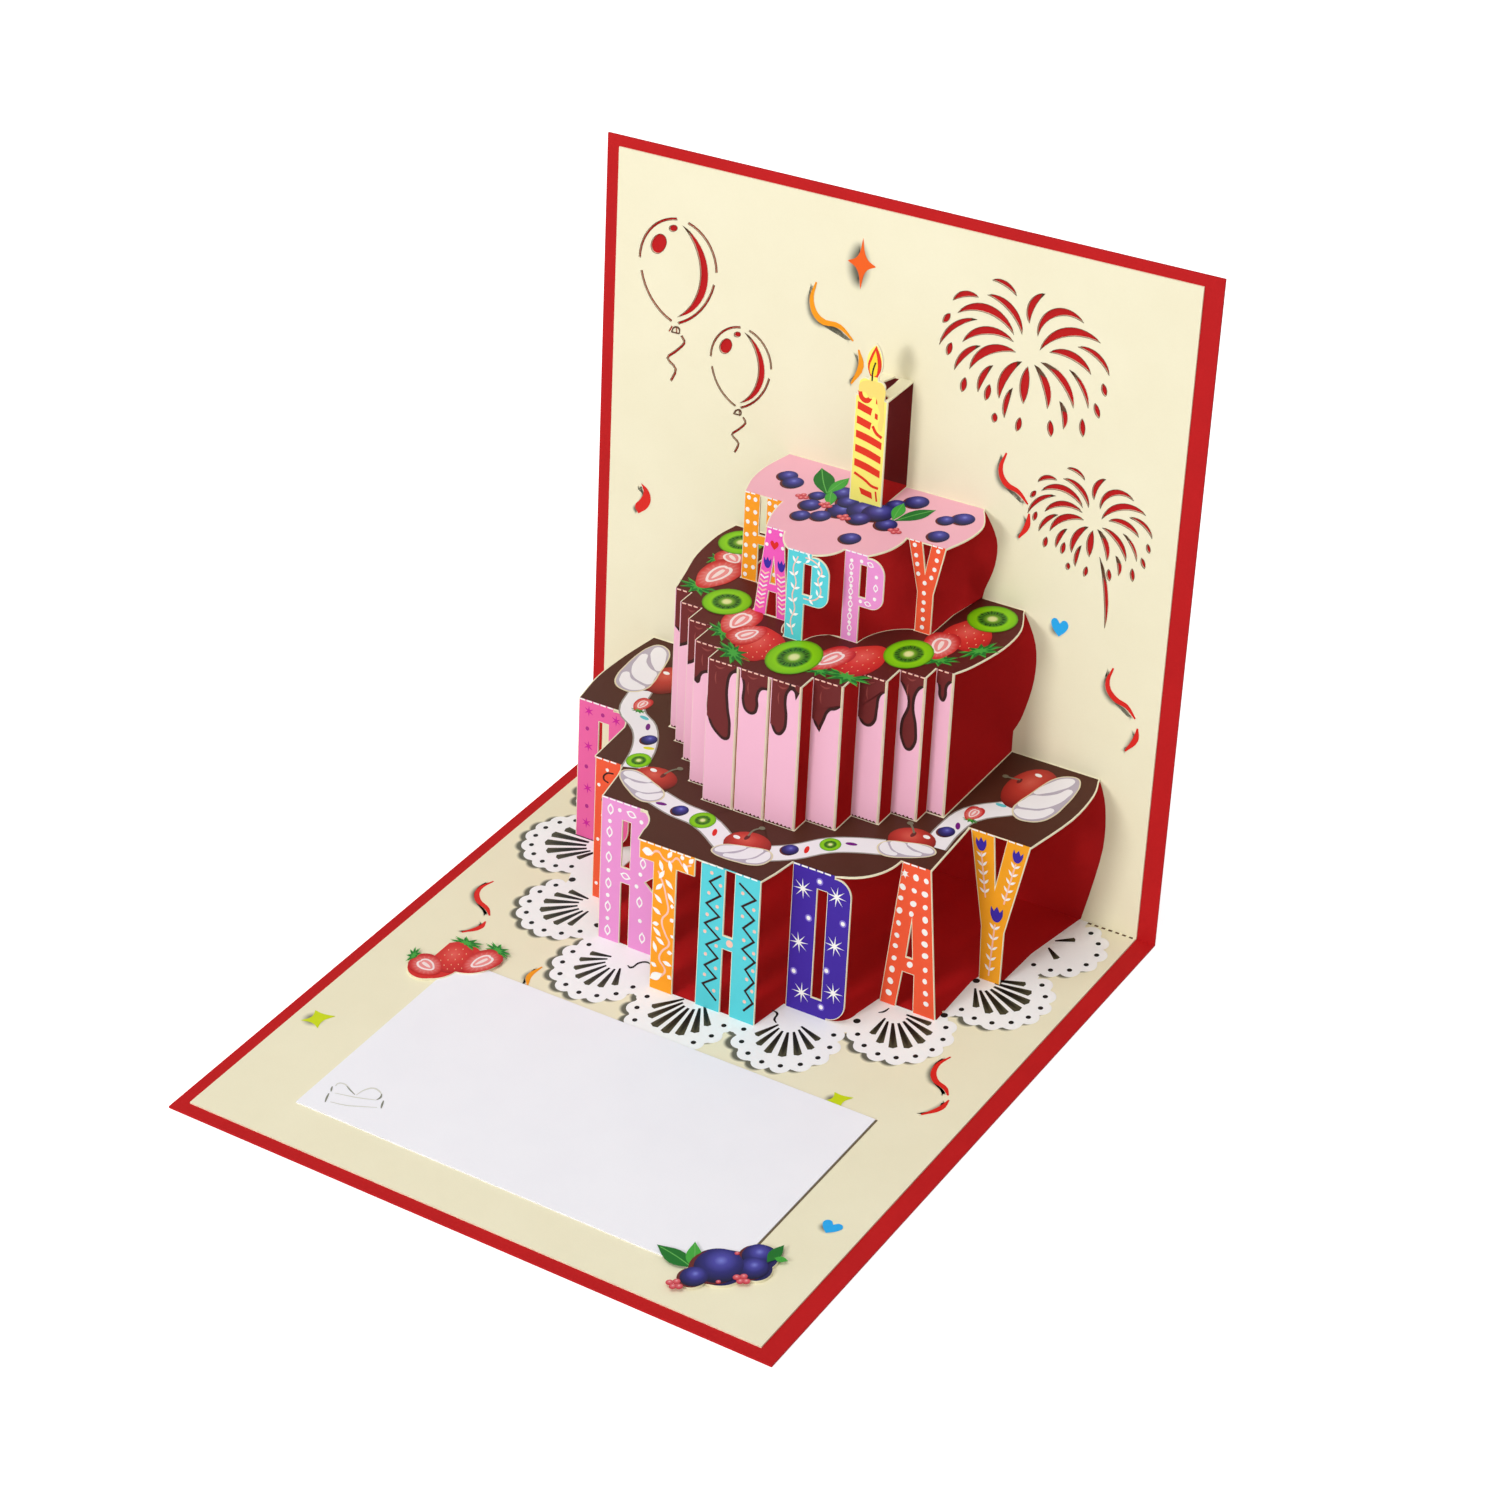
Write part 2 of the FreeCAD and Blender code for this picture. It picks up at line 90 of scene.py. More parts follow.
def layMatrix(face, x, y, lift=0.0, turn=0.0, sizeX=1.0, sizeY=1.0):
    place = Matrix((Vector((1, 0, 0)), face["along"], face["out"])).transposed().to_4x4()
    place.translation = face["origin"]
    local = Matrix.Translation((x, y, lift)) @ Matrix.Rotation(math.radians(turn), 4, "Z")
    return place @ Matrix.Scale(mm, 4) @ local @ Matrix.Diagonal((sizeX, sizeY, 1, 1))


# Every printed colour of every part of the card is one piece, gathered here while it is drawn.
pieces = {}


def pieceMesh(group, inkName):
    key = (group, inkName)
    if key not in pieces:
        drawn = bmesh.new()
        drawn.loops.layers.uv.new("UVMap")
        drawn.verts.layers.float.new("shade")
        pieces[key] = drawn
    return pieces[key]


def stamp(group, inkName, shape, matrix):
    copy = shape.copy()
    copy.transform(matrix)
    if matrix.determinant() < 0:
        bmesh.ops.reverse_faces(copy, faces=copy.faces)
    mesh = bpy.data.meshes.new("stamp")
    copy.to_mesh(mesh)
    copy.free()
    pieceMesh(group, inkName).from_mesh(mesh)
    bpy.data.meshes.remove(mesh)


def mapShape(shape, halfX, halfY):
    layer = shape.loops.layers.uv.get("UVMap") or shape.loops.layers.uv.new("UVMap")
    for face in shape.faces:
        for loop in face.loops:
            loop[layer].uv = (loop.vert.co.x / halfX * 0.5 + 0.5, loop.vert.co.y / halfY * 0.5 + 0.5)


def roundShape(segments=24):
    shape = bmesh.new()
    bmesh.ops.create_cone(
        shape, cap_ends=True, segments=segments, radius1=1, radius2=1, depth=ink["thick"])
    bmesh.ops.translate(shape, verts=shape.verts, vec=(0, 0, ink["thick"] / 2))
    mapShape(shape, 1, 1)
    return shape


# An outline is a list of loops; a point (x, y) is on a smooth curve and (x, y, 0) is a corner.
def outlineShape(loops, steps=5):
    curve = bpy.data.curves.new("outline", "CURVE")
    curve.dimensions = "2D"
    curve.fill_mode = "BOTH"
    curve.extrude = ink["thick"] / 2
    curve.resolution_u = steps
    for points in loops:
        spline = curve.splines.new("BEZIER")
        spline.bezier_points.add(len(points) - 1)
        spline.use_cyclic_u = True
        for knot, point in zip(spline.bezier_points, points):
            knot.co = (point[0], point[1], 0)
            kind = "VECTOR" if len(point) == 3 else "AUTO"
            knot.handle_left_type = kind
            knot.handle_right_type = kind
    holder = bpy.data.objects.new("outline", curve)
    bpy.context.scene.collection.objects.link(holder)
    mesh = bpy.data.meshes.new_from_object(holder)
    shape = bmesh.new()
    shape.from_mesh(mesh)
    bpy.data.objects.remove(holder)
    bpy.data.curves.remove(curve)
    bpy.data.meshes.remove(mesh)
    bmesh.ops.remove_doubles(shape, verts=shape.verts, dist=0.002)
    bmesh.ops.recalc_face_normals(shape, faces=shape.faces)
    bmesh.ops.translate(shape, verts=shape.verts, vec=(0, 0, ink["thick"] / 2))
    halfX = max(abs(v.co.x) for v in shape.verts)
    halfY = max(abs(v.co.y) for v in shape.verts)
    mapShape(shape, halfX, halfY)
    return shape


discShape = roundShape()
smallDisc = roundShape(12)


# Turns a flat patch into a closed sheet by sweeping it along the offset.
def thicken(shape, offset):
    made = bmesh.ops.extrude_face_region(shape, geom=shape.faces[:])
    swept = [v for v in made["geom"] if isinstance(v, bmesh.types.BMVert)]
    bmesh.ops.translate(shape, verts=swept, vec=offset)
    bmesh.ops.recalc_face_normals(shape, faces=shape.faces)


def keepTop(shape):
    bmesh.ops.delete(shape, geom=[f for f in shape.faces if f.normal.z < 0.5], context="FACES")


def insetRim(shape, width):
    return bmesh.ops.inset_region(
        shape, faces=shape.faces, thickness=width, use_even_offset=True, use_boundary=True)["faces"]


# Each print lies a hair above the one before it, so that two never share a plane.
def liftOf(level):
    ink["turnOver"] = (ink["turnOver"] + 1) % 17
    return ink["step"] * level + ink["hair"] * ink["turnOver"]


def drawRound(group, inkName, face, x, y, radiusX, radiusY=None, turn=0.0, level=1):
    shape = discShape if max(radiusX, radiusY or 0) > 1.2 else smallDisc
    stamp(group, inkName, shape, layMatrix(face, x, y, liftOf(level), turn, radiusX, radiusY or radiusX))


def drawShape(group, inkName, face, shape, x, y, size=1.0, turn=0.0, level=1, sizeY=None):
    stamp(group, inkName, shape, layMatrix(face, x, y, liftOf(level), turn, size, sizeY or size))


def drawLoops(group, inkName, face, loops, level=1, steps=4):
    shape = outlineShape(loops, steps)
    stamp(group, inkName, shape, layMatrix(face, 0, 0, liftOf(level)))
    shape.free()


def drawBox(group, inkName, face, x0, x1, y0, y1, level=1):
    drawLoops(group, inkName, face, [[(x0, y0, 0), (x1, y0, 0), (x1, y1, 0), (x0, y1, 0)]], level)


# The outline of a line of the given width; taper is the share of the width left at its ends.
def strokeLoop(points, width, taper=1.0):
    left = []
    right = []
    for index, here in enumerate(points):
        before = points[max(index - 1, 0)]
        after = points[min(index + 1, len(points) - 1)]
        behind = Vector((here[0] - before[0], here[1] - before[1])).normalized()
        ahead = Vector((after[0] - here[0], after[1] - here[1])).normalized()
        if index in (0, len(points) - 1):
            along = ahead + behind
            mitre = 1.0
        else:
            along = (ahead + behind).normalized()
            mitre = 1 / max(0.45, along.dot(ahead))
        share = math.sin(math.pi * index / (len(points) - 1))
        half = width / 2 * mitre * (taper + (1 - taper) * share)
        kind = (0,) if len(here) == 3 or index in (0, len(points) - 1) else ()
        left.append((here[0] - along.y * half, here[1] + along.x * half) + kind)
        right.append((here[0] + along.y * half, here[1] - along.x * half) + kind)
    return left + right[::-1]


def drawStroke(group, inkName, face, points, width, level=1, taper=1.0):
    drawLoops(group, inkName, face, [strokeLoop(points, width, taper)], level)


def moved(points, dx, dy, size=1.0):
    return [(p[0] * size + dx, p[1] * size + dy) + tuple(p[2:]) for p in points]


def stampShadow(group, face, shape, level):
    thicken(shape, (0, 0, -ink["thick"]))
    stamp(group, "softShadow", shape, layMatrix(face, 0, 0, ink["step"] * level - ink["thick"] * 0.3))
    shape.free()


# A soft printed shadow: full strength inside, fading to nothing over the feather at its edge.
def drawShadow(group, face, loop, feather, strength=1.0):
    shape = outlineShape([loop], 4)
    keepTop(shape)
    shade = shape.verts.layers.float.new("shade")
    outer = set(shape.verts)
    insetRim(shape, feather)
    for vert in shape.verts:
        vert[shade] = 0.0 if vert in outer else strength
    stampShadow(group, face, shape, 0)


# Loops that several prints share, drawn round their own centre
def starLoop(rays, outer, inner, start=90.0):
    loop = []
    for index in range(rays * 2):
        radius = inner if index % 2 else outer
        angle = math.radians(start + index * 180 / rays)
        loop.append((radius * math.cos(angle), radius * math.sin(angle), 0))
    return loop


def leafLoop(length, width):
    return [(0, 0, 0), (length * 0.4, width / 2), (length, 0, 0), (length * 0.45, -width / 2)]


def tulipLoop():
    return [(-0.9, 1.1, 0), (-0.45, 0.45, 0), (0, 1.25, 0), (0.45, 0.45, 0), (0.9, 1.1, 0), (0.85, -0.2),
            (0, -1.1), (-0.85, -0.2)]


def heartLoop():
    return [(0, -1, 0), (0.85, -0.05), (0.95, 0.6), (0.5, 0.9), (0, 0.45, 0), (-0.5, 0.9), (-0.95, 0.6),
            (-0.85, -0.05)]


starburst = outlineShape([starLoop(8, 1.0, 0.2)])
asterisk = outlineShape([starLoop(6, 1.0, 0.3)])
tulip = outlineShape([tulipLoop()])
heart = outlineShape([heartLoop()])
leaflet = outlineShape([leafLoop(1.0, 0.55)])
calyx = outlineShape([starLoop(9, 1.0, 0.45)])
ovalLoop = [(0, 1, 0), (0.95, 0), (0, -1, 0), (-0.95, 0)]
ovalRing = outlineShape([ovalLoop, moved(ovalLoop, 0, 0, 0.62)])
softDiamond = outlineShape([[(0, 1), (0.8, 0.2), (0.15, -0.95), (-0.85, -0.1)]])
softStar = outlineShape([[(0, -0.75), (1, -1, 0), (0.55, 0), (0.75, 0.9, 0), (0, 0.6), (-0.95, 0.8, 0),
                          (-0.5, 0), (-0.75, -0.8, 0)]])
heartDown = outlineShape([[(p[0], -p[1]) + tuple(p[2:]) for p in heartLoop()]])
laceSlot = outlineShape([[(0.36, 0.02, 0), (0.97, 0.072, 0), (1.0, 0, 0), (0.97, -0.072, 0),
                          (0.36, -0.02, 0)]])
berryShape = outlineShape([[
    (0, -1), (0.6, -0.6), (0.92, 0.05), (0.78, 0.7), (0.3, 0.95), (0, 0.9), (-0.3, 0.95), (-0.78, 0.7),
    (-0.92, 0.05),
    (-0.6, -0.6)]])
print("drawing tools ready")


# Card, paper and ink finishes

def addNode(tree, kind, **sockets):
    node = tree.nodes.new(kind)
    for name, value in sockets.items():
        node.inputs[name].default_value = value
    return node


def mathNode(tree, operation, value=None):
    node = tree.nodes.new("ShaderNodeMath")
    node.operation = operation
    if value is not None:
        node.inputs[1].default_value = value
    return node


def colourMix(tree):
    node = tree.nodes.new("ShaderNodeMix")
    node.data_type = "RGBA"
    return node


def makeGrainGroup():
    tree = bpy.data.node_groups.new("paperGrain", "ShaderNodeTree")
    tree.interface.new_socket("Vector", in_out="INPUT", socket_type="NodeSocketVector")
    for name, value in (("Fibre Scale", 2600.0), ("Blotch Scale", 60.0), ("Rough", 0.6),
                        ("Rough Change", 0.12)):
        socket = tree.interface.new_socket(name, in_out="INPUT", socket_type="NodeSocketFloat")
        socket.default_value = value
    for name in ("Tint", "Roughness", "Height"):
        tree.interface.new_socket(name, in_out="OUTPUT", socket_type="NodeSocketFloat")
    inlet = tree.nodes.new("NodeGroupInput")
    outlet = tree.nodes.new("NodeGroupOutput")
    fibre = addNode(tree, "ShaderNodeTexNoise", Detail=4.0, Roughness=0.6)
    blotch = addNode(tree, "ShaderNodeTexNoise", Detail=3.0, Roughness=0.55)
    blend = mathNode(tree, "MULTIPLY_ADD", 0.35)
    half = mathNode(tree, "MULTIPLY", 0.65)
    centred = mathNode(tree, "SUBTRACT", 0.5)
    rough = mathNode(tree, "MULTIPLY_ADD")
    links = tree.links
    links.new(inlet.outputs["Vector"], fibre.inputs["Vector"])
    links.new(inlet.outputs["Fibre Scale"], fibre.inputs["Scale"])
    links.new(inlet.outputs["Vector"], blotch.inputs["Vector"])
    links.new(inlet.outputs["Blotch Scale"], blotch.inputs["Scale"])
    links.new(blotch.outputs["Fac"], half.inputs[0])
    links.new(fibre.outputs["Fac"], blend.inputs[0])
    links.new(half.outputs[0], blend.inputs[2])
    links.new(fibre.outputs["Fac"], centred.inputs[0])
    links.new(centred.outputs[0], rough.inputs[0])
    links.new(inlet.outputs["Rough Change"], rough.inputs[1])
    links.new(inlet.outputs["Rough"], rough.inputs[2])
    links.new(blend.outputs[0], outlet.inputs["Tint"])
    links.new(rough.outputs[0], outlet.inputs["Roughness"])
    links.new(fibre.outputs["Fac"], outlet.inputs["Height"])
    return tree


grainGroup = makeGrainGroup()


# The usual sRGB curve, from a hex colour to linear red, green, blue and alpha
def linear(hexColour):
    parts = [int(hexColour[i:i + 2], 16) / 255 for i in (1, 3, 5)]
    return tuple(((c + 0.055) / 1.055) ** 2.4 if c > 0.04045 else c / 12.92 for c in parts) + (1.0,)


def grainMaterial(name, light, dark, rough=0.6, bump=0.12, fibre=2600.0, blotch=60.0):
    material = bpy.data.materials.new(name)
    material.use_nodes = True
    tree = material.node_tree
    shader = tree.nodes["Principled BSDF"]
    shader.inputs["Specular IOR Level"].default_value = 0.18
    place = addNode(tree, "ShaderNodeTexCoord")
    grain = tree.nodes.new("ShaderNodeGroup")
    grain.node_tree = grainGroup
    grain.inputs["Fibre Scale"].default_value = fibre
    grain.inputs["Blotch Scale"].default_value = blotch
    grain.inputs["Rough"].default_value = rough
    relief = addNode(tree, "ShaderNodeBump", Strength=bump, Distance=0.0001)
    mix = colourMix(tree)
    mix.inputs["A"].default_value = linear(light)
    mix.inputs["B"].default_value = linear(dark)
    links = tree.links
    links.new(place.outputs["Object"], grain.inputs["Vector"])
    links.new(grain.outputs["Tint"], mix.inputs["Factor"])
    links.new(grain.outputs["Roughness"], shader.inputs["Roughness"])
    links.new(grain.outputs["Height"], relief.inputs["Height"])
    links.new(relief.outputs["Normal"], shader.inputs["Normal"])
    links.new(mix.outputs["Result"], shader.inputs["Base Color"])
    return material


paper = {
    "cream": ("#F6F0D3", "#ECE4C3"),
    "red": ("#CB171A", "#AB0E12"),
    "note": ("#FBFAFE", "#F1F0F6"),
}
finishes = {
    "creamCard": grainMaterial("creamCard", *paper["cream"], rough=0.62, bump=0.18),
    "redCard": grainMaterial("redCard", *paper["red"], rough=0.7, bump=0.3, fibre=1900.0),
    "notePaper": grainMaterial("notePaper", *paper["note"], rough=0.55, bump=0.12),
}

inks = {
    "letterPink": ("#F26BAA", "#E65C9C"),
    "letterCoral": ("#F5603A", "#EA5230"),
    "letterOrchid": ("#EF9BD8", "#E48CCB"),
    "letterOrange": ("#FFA521", "#F59614"),
    "letterCyan": ("#5FD6DF", "#4CC7D1"),
    "letterViolet": ("#4529A6", "#3A2094"),
    "letterGold": ("#F9AA26", "#EE9C18"),
    "letterRose": ("#F660C2", "#EA50B4"),
    "chocolate": ("#50291C", "#452115"),
    "cocoa": ("#5D1C19", "#501412"),
    "icingPink": ("#F2B6C6", "#ECABBC"),
    "slatPink": ("#F7C0D6", "#F0B3CB"),
    "candleYellow": ("#FFF681", "#FBED6B"),
    "white": ("#FBFAF6", "#F3F1EE"),
    "laceWhite": ("#FFFFFE", "#F6F6F5"),
    "paleRose": ("#F9CBB9", "#F5BDAA"),
    "magenta": ("#D92BA0", "#C92092"),
    "plum": ("#B8318C", "#A6277C"),
    "purple": ("#3F2BA8", "#33219A"),
    "darkBrown": ("#2F1614", "#25100F"),
    "drip": ("#74292A", "#641F1F"),
    "dripLight": ("#93443F", "#853A36"),
    "black": ("#1C1A17", "#131210"),
    "bandRed": ("#EA3A22", "#DD2C18"),
    "waxYellow": ("#FAE382", "#F4D768"),
    "flameYellow": ("#FBE53C", "#F6D626"),
    "streamerRed": ("#E8291F", "#CF1D17"),
    "streamerOrange": ("#FBA418", "#F08F0C"),
    "starOrange": ("#F6691E", "#EC5A14"),
    "starGreen": ("#D6E21C", "#C2D412"),
    "heartBlue": ("#2DB2F6", "#1FA2EA"),
    "creamLilac": ("#C3B9C6", "#ADA1B2"),
    "creamGrey": ("#A8A29A", "#948D86"),
    "leafDark": ("#1F7A2B", "#176322"),
    "leafLight": ("#4BB043", "#3B9A36"),
    "seedDark": ("#20310F", "#18260B"),
    "seedPale": ("#F6C9A2", "#F2B98C"),
    "stemOlive": ("#7F7C66", "#6C6A55"),
    "sprinkleCyan": ("#67C9D2", "#55BAC4"),
    "sprinklePurple": ("#7A1A86", "#6A1276"),
    "sprinkleYellow": ("#E7E428", "#D8D51C"),
    "noteCut": ("#8F9082", "#7B7C6E"),
    "noteFaint": ("#DFDED6", "#D5D4CB"),
    "deepRed": ("#74090C", "#5C0709"),
    "violetGlow": ("#8C7BD6", "#7F6CCB"),
    "dripEdge": ("#3A1917", "#301311"),
    "creamWhite": ("#F6F3F5", "#EBE7EC"),
    "berryShade": ("#6A2A26", "#59201E"),
    "sliceHeart": ("#FBECEA", "#F6DEDC"),
    "slicePink": ("#F09A98", "#EA8886"),
    "sliceSlit": ("#FBE9E6", "#F6DAD7"),
    "leafVein": ("#69B85A", "#58A84B"),
    "flapRed": ("#D9332F", "#C92725"),
    "flapIndigo": ("#25235A", "#1D1B4B"),
    "noteEdge": ("#7A6A4E", "#5E5140"),
    "burntEdge": ("#6B4A34", "#573A28"),
    "cutCream": ("#EADFBE", "#D9CCA6"),
}
for name, (light, dark) in inks.items():
    finishes[name] = grainMaterial(name, light, dark, rough=0.5, bump=0.08)


# Round prints shade from their middle outwards, by the map that goes with each shape.
def radialMaterial(name, stops, centre=(0.5, 0.5), reach=0.5, rays=0, rayColour="#FFFFFF", rayReach=(0, 1),
                   rayShare=1):
    material = grainMaterial(name, "#FFFFFF", "#DDDDDD", rough=0.42, bump=0.05)
    tree = material.node_tree
    shader = tree.nodes["Principled BSDF"]
    grainMix = shader.inputs["Base Color"].links[0].from_node
    uv = tree.nodes.new("ShaderNodeUVMap")
    uv.uv_map = "UVMap"
    offset = tree.nodes.new("ShaderNodeVectorMath")
    offset.operation = "SUBTRACT"
    offset.inputs[1].default_value = (centre[0], centre[1], 0)
    length = tree.nodes.new("ShaderNodeVectorMath")
    length.operation = "LENGTH"
    share = mathNode(tree, "DIVIDE", reach)
    ramp = tree.nodes.new("ShaderNodeValToRGB")
    ramp.color_ramp.elements[0].position = stops[0][0]
    ramp.color_ramp.elements[0].color = linear(stops[0][1])
    ramp.color_ramp.elements[1].position = stops[-1][0]
    ramp.color_ramp.elements[1].color = linear(stops[-1][1])
    for position, colour in stops[1:-1]:
        ramp.color_ramp.elements.new(position).color = linear(colour)
    tone = colourMix(tree)
    tone.blend_type = "MULTIPLY"
    tone.inputs["Factor"].default_value = 1.0
    links = tree.links
    links.new(uv.outputs["UV"], offset.inputs[0])
    links.new(offset.outputs["Vector"], length.inputs[0])
    links.new(length.outputs["Value"], share.inputs[0])
    links.new(share.outputs[0], ramp.inputs["Fac"])
    links.new(ramp.outputs["Color"], tone.inputs["A"])
    links.new(grainMix.outputs["Result"], tone.inputs["B"])
    result = tone
    if rays:
        turn = tree.nodes.new("ShaderNodeTexGradient")
        turn.gradient_type = "RADIAL"
        beat = mathNode(tree, "MULTIPLY", rays * math.tau)
        wave = mathNode(tree, "SINE")
        streak = tree.nodes.new("ShaderNodeMapRange")
        streak.inputs["From Min"].default_value = 0.2
        streak.inputs["To Max"].default_value = 0.4
        band = tree.nodes.new("ShaderNodeValToRGB")
        band.color_ramp.elements[0].position = rayReach[0]
        band.color_ramp.elements[1].position = rayReach[1]
        band.color_ramp.elements[1].color = (0, 0, 0, 1)
        band.color_ramp.elements.new((rayReach[0] + rayReach[1]) / 2).color = (rayShare,) * 3 + (1,)
        masked = mathNode(tree, "MULTIPLY")
        result = colourMix(tree)
        result.inputs["B"].default_value = linear(rayColour)
        links.new(offset.outputs["Vector"], turn.inputs["Vector"])
        links.new(turn.outputs["Fac"], beat.inputs[0])
        links.new(beat.outputs[0], wave.inputs[0])
        links.new(wave.outputs[0], streak.inputs["Value"])
        links.new(share.outputs[0], band.inputs["Fac"])
        links.new(streak.outputs["Result"], masked.inputs[0])
        links.new(band.outputs["Color"], masked.inputs[1])
        links.new(masked.outputs[0], result.inputs["Factor"])
        links.new(tone.outputs["Result"], result.inputs["A"])
    links.new(result.outputs["Result"], shader.inputs["Base Color"])
    return material


radialInks = {
    "kiwi": {
        "stops": ((0.0, "#F6F6B4"), (0.15, "#EBF19C"), (0.24, "#79B528"), (0.4, "#1F5A10"), (0.54, "#3A8614"),
                  (0.64, "#93DC10"), (0.9, "#84CE0D"), (1.0, "#4F8F0C")),
        "rays": 24, "rayColour": "#8CC83A", "rayReach": (0.24, 0.62), "rayShare": 0.75},
    "strawberrySlice": {
        "stops": ((0.0, "#F6C9C6"), (0.3, "#F3A5A2"), (0.62, "#EB6F6A"), (0.86, "#DE3F3B"), (1.0, "#C9272A")),
        "rays": 18, "rayColour": "#FBE3E0", "rayReach": (0.5, 0.9), "rayShare": 0.3},
    "strawberryWhole": {
        "stops": ((0.0, "#F2665C"), (0.45, "#E33A33"), (0.8, "#D32A28"), (1.0, "#B51D20")),
        "centre": (0.45, 0.4), "reach": 0.62},
    "blueberry": {
        "stops": ((0.0, "#7F86DC"), (0.22, "#514EAE"), (0.55, "#2E2C78"), (0.9, "#1B1A48"), (1.0, "#121132")),
        "centre": (0.46, 0.35), "reach": 0.62},
    "cherry": {
        "stops": ((0.0, "#E2604F"), (0.4, "#C93C30"), (0.8, "#A32B22"), (1.0, "#7D1D18")),
        "centre": (0.4, 0.36), "reach": 0.62},
    "currant": {
        "stops": ((0.0, "#FBC4C4"), (0.3, "#EF7079"), (1.0, "#C8323F")), "centre": (0.42, 0.38),
        "reach": 0.6},
    "laceSlot": {"stops": ((0.4, "#0B0A09"), (0.65, "#14130E"), (0.85, "#2A291D"), (1.0, "#4E4B37"))},
}
for name, values in radialInks.items():
    finishes[name] = radialMaterial(name, **values)


def makeShadowInk():
    material = grainMaterial("softShadow", *paper["cream"], rough=0.62, bump=0.18)
    tree = material.node_tree
    shader = tree.nodes["Principled BSDF"]
    cream = shader.inputs["Base Color"].links[0].from_node
    shade = tree.nodes.new("ShaderNodeAttribute")
    shade.attribute_name = "shade"
    soft = tree.nodes.new("ShaderNodeMapRange")
    soft.interpolation_type = "SMOOTHSTEP"
    soft.inputs["To Max"].default_value = 0.9
    darker = colourMix(tree)
    darker.inputs["B"].default_value = linear("#3F4238")
    tree.links.new(shade.outputs["Fac"], soft.inputs["Value"])
    tree.links.new(soft.outputs["Result"], darker.inputs["Factor"])
    tree.links.new(cream.outputs["Result"], darker.inputs["A"])
    tree.links.new(darker.outputs["Result"], shader.inputs["Base Color"])
    return material


finishes["softShadow"] = makeShadowInk()

for node, finish in (("cover", "redCard"), ("pop_up_sheet", "creamCard"), ("note_card", "notePaper")):
    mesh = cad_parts[node].data
    mesh.materials.clear()
    mesh.materials.append(finishes[finish])
print("card, paper and ink finishes ready")


# Colour fields: the card's own faces, drawn a little in from their cut edges

sheetCopy = bmesh.new()
sheetCopy.from_mesh(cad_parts["pop_up_sheet"].data)
bmesh.ops.remove_doubles(sheetCopy, verts=sheetCopy.verts, dist=0.002 * mm)
sheetCopy.normal_update()
onPlane = {"reach": 0.03, "facing": 0.98}


# The faces of the sheet that lie in one plane and pass the test of their middle (x, d, h)
def sheetFaces(face, test):
    field = sheetCopy.copy()
    spare = []
    for part in field.faces:
        x, d, h = cardPlace(part.calc_center_median())
        away = (h if face["level"] else d) - face["at"]
        facing = part.normal.dot(face["out"]) > onPlane["facing"]
        if not facing or abs(away) > onPlane["reach"] or not test(x, d, h):
            spare.append(part)
    bmesh.ops.delete(field, geom=spare, context="FACES")
    return field


def colourField(group, inkName, face, box, edge=ink["cutEdge"], folds=()):
    low, high = box

    def inBox(x, d, h):
        across = d if face["level"] else h
        return low[0] < x < high[0] and low[1] < across < high[1]

    field = sheetFaces(face, inBox)
    bmesh.ops.delete(field, geom=insetRim(field, edge * mm), context="FACES")
    for vert in field.verts:
        x, d, h = cardPlace(vert.co)
        for fold in folds:
            across = d if face["level"] else h
            if abs(across - fold) < edge * 1.6:
                vert.co += face["along"] * ((fold - across) * mm)
    thicken(field, face["out"] * (ink["thick"] * mm))
    stamp(group, inkName, field, Matrix.Identity(4))
    field.free()


bigLetters = {
    "b": (29.0, -58.3, -43.5, "letterPink"),
    "i": (46.3, -41.4, -34.2, "letterCoral"),
    "r": (57.8, -31.5, -16.1, "letterOrchid"),
    "t": (67.0, -15.0, -0.6, "letterOrange"),
    "h": (67.0, 0.6, 15.9, "letterCyan"),
    "d": (57.8, 17.6, 32.5, "letterViolet"),
    "a": (46.3, 33.9, 48.0, "letterCoral"),
    "y": (29.0, 43.4, 58.3, "letterGold"),
}
smallLetters = {
    "h": (18.1, -23.8, -13.9, "letterOrange"),
    "a": (28.3, -13.8, -4.8, "letterRose"),
    "p": (33.6, -2.5, 8.1, "letterCyan"),
    "q": (28.3, 8.2, 18.3, "letterOrchid"),
    "y": (18.1, 17.5, 27.0, "letterCoral"),
}
for depth, x0, x1, inkName in bigLetters.values():
    colourField("big_letters", inkName, uprightFace(depth), ((x0, -1), (x1, 35)), 0.16, (0, card["tier1"]))
for depth, x0, x1, inkName in smallLetters.values():
    colourField(
        "small_letters", inkName, uprightFace(depth), ((x0, 67), (x1, 89)), 0.14,
        (card["tier2"], card["tier3"]))
slatDepths = (28.5, 32.7, 37.7, 44.0, 48.4)
wholeLevel = ((-75, -1), (75, 75))
colourField("tier_1_top", "chocolate", levelFace(card["tier1"]), wholeLevel, 0.3, (29.0, 46.3, 57.8, 67.0))
colourField("tier_2_top", "cocoa", levelFace(card["tier2"]), wholeLevel, 0.25, slatDepths)
colourField("tier_3_top", "icingPink", levelFace(card["tier3"]), wholeLevel, 0.25, (18.1, 28.3, 33.6))
for depth in slatDepths:
    colourField("slats", "slatPink", uprightFace(depth), ((-38, 34), (38, 69)), 0.07,
                (card["tier1"], card["tier2"]))
colourField("candle", "candleYellow", uprightFace(card["candleDepth"]), ((-3, 88), (7, 125)), 0.25,
            (card["tier3"],))


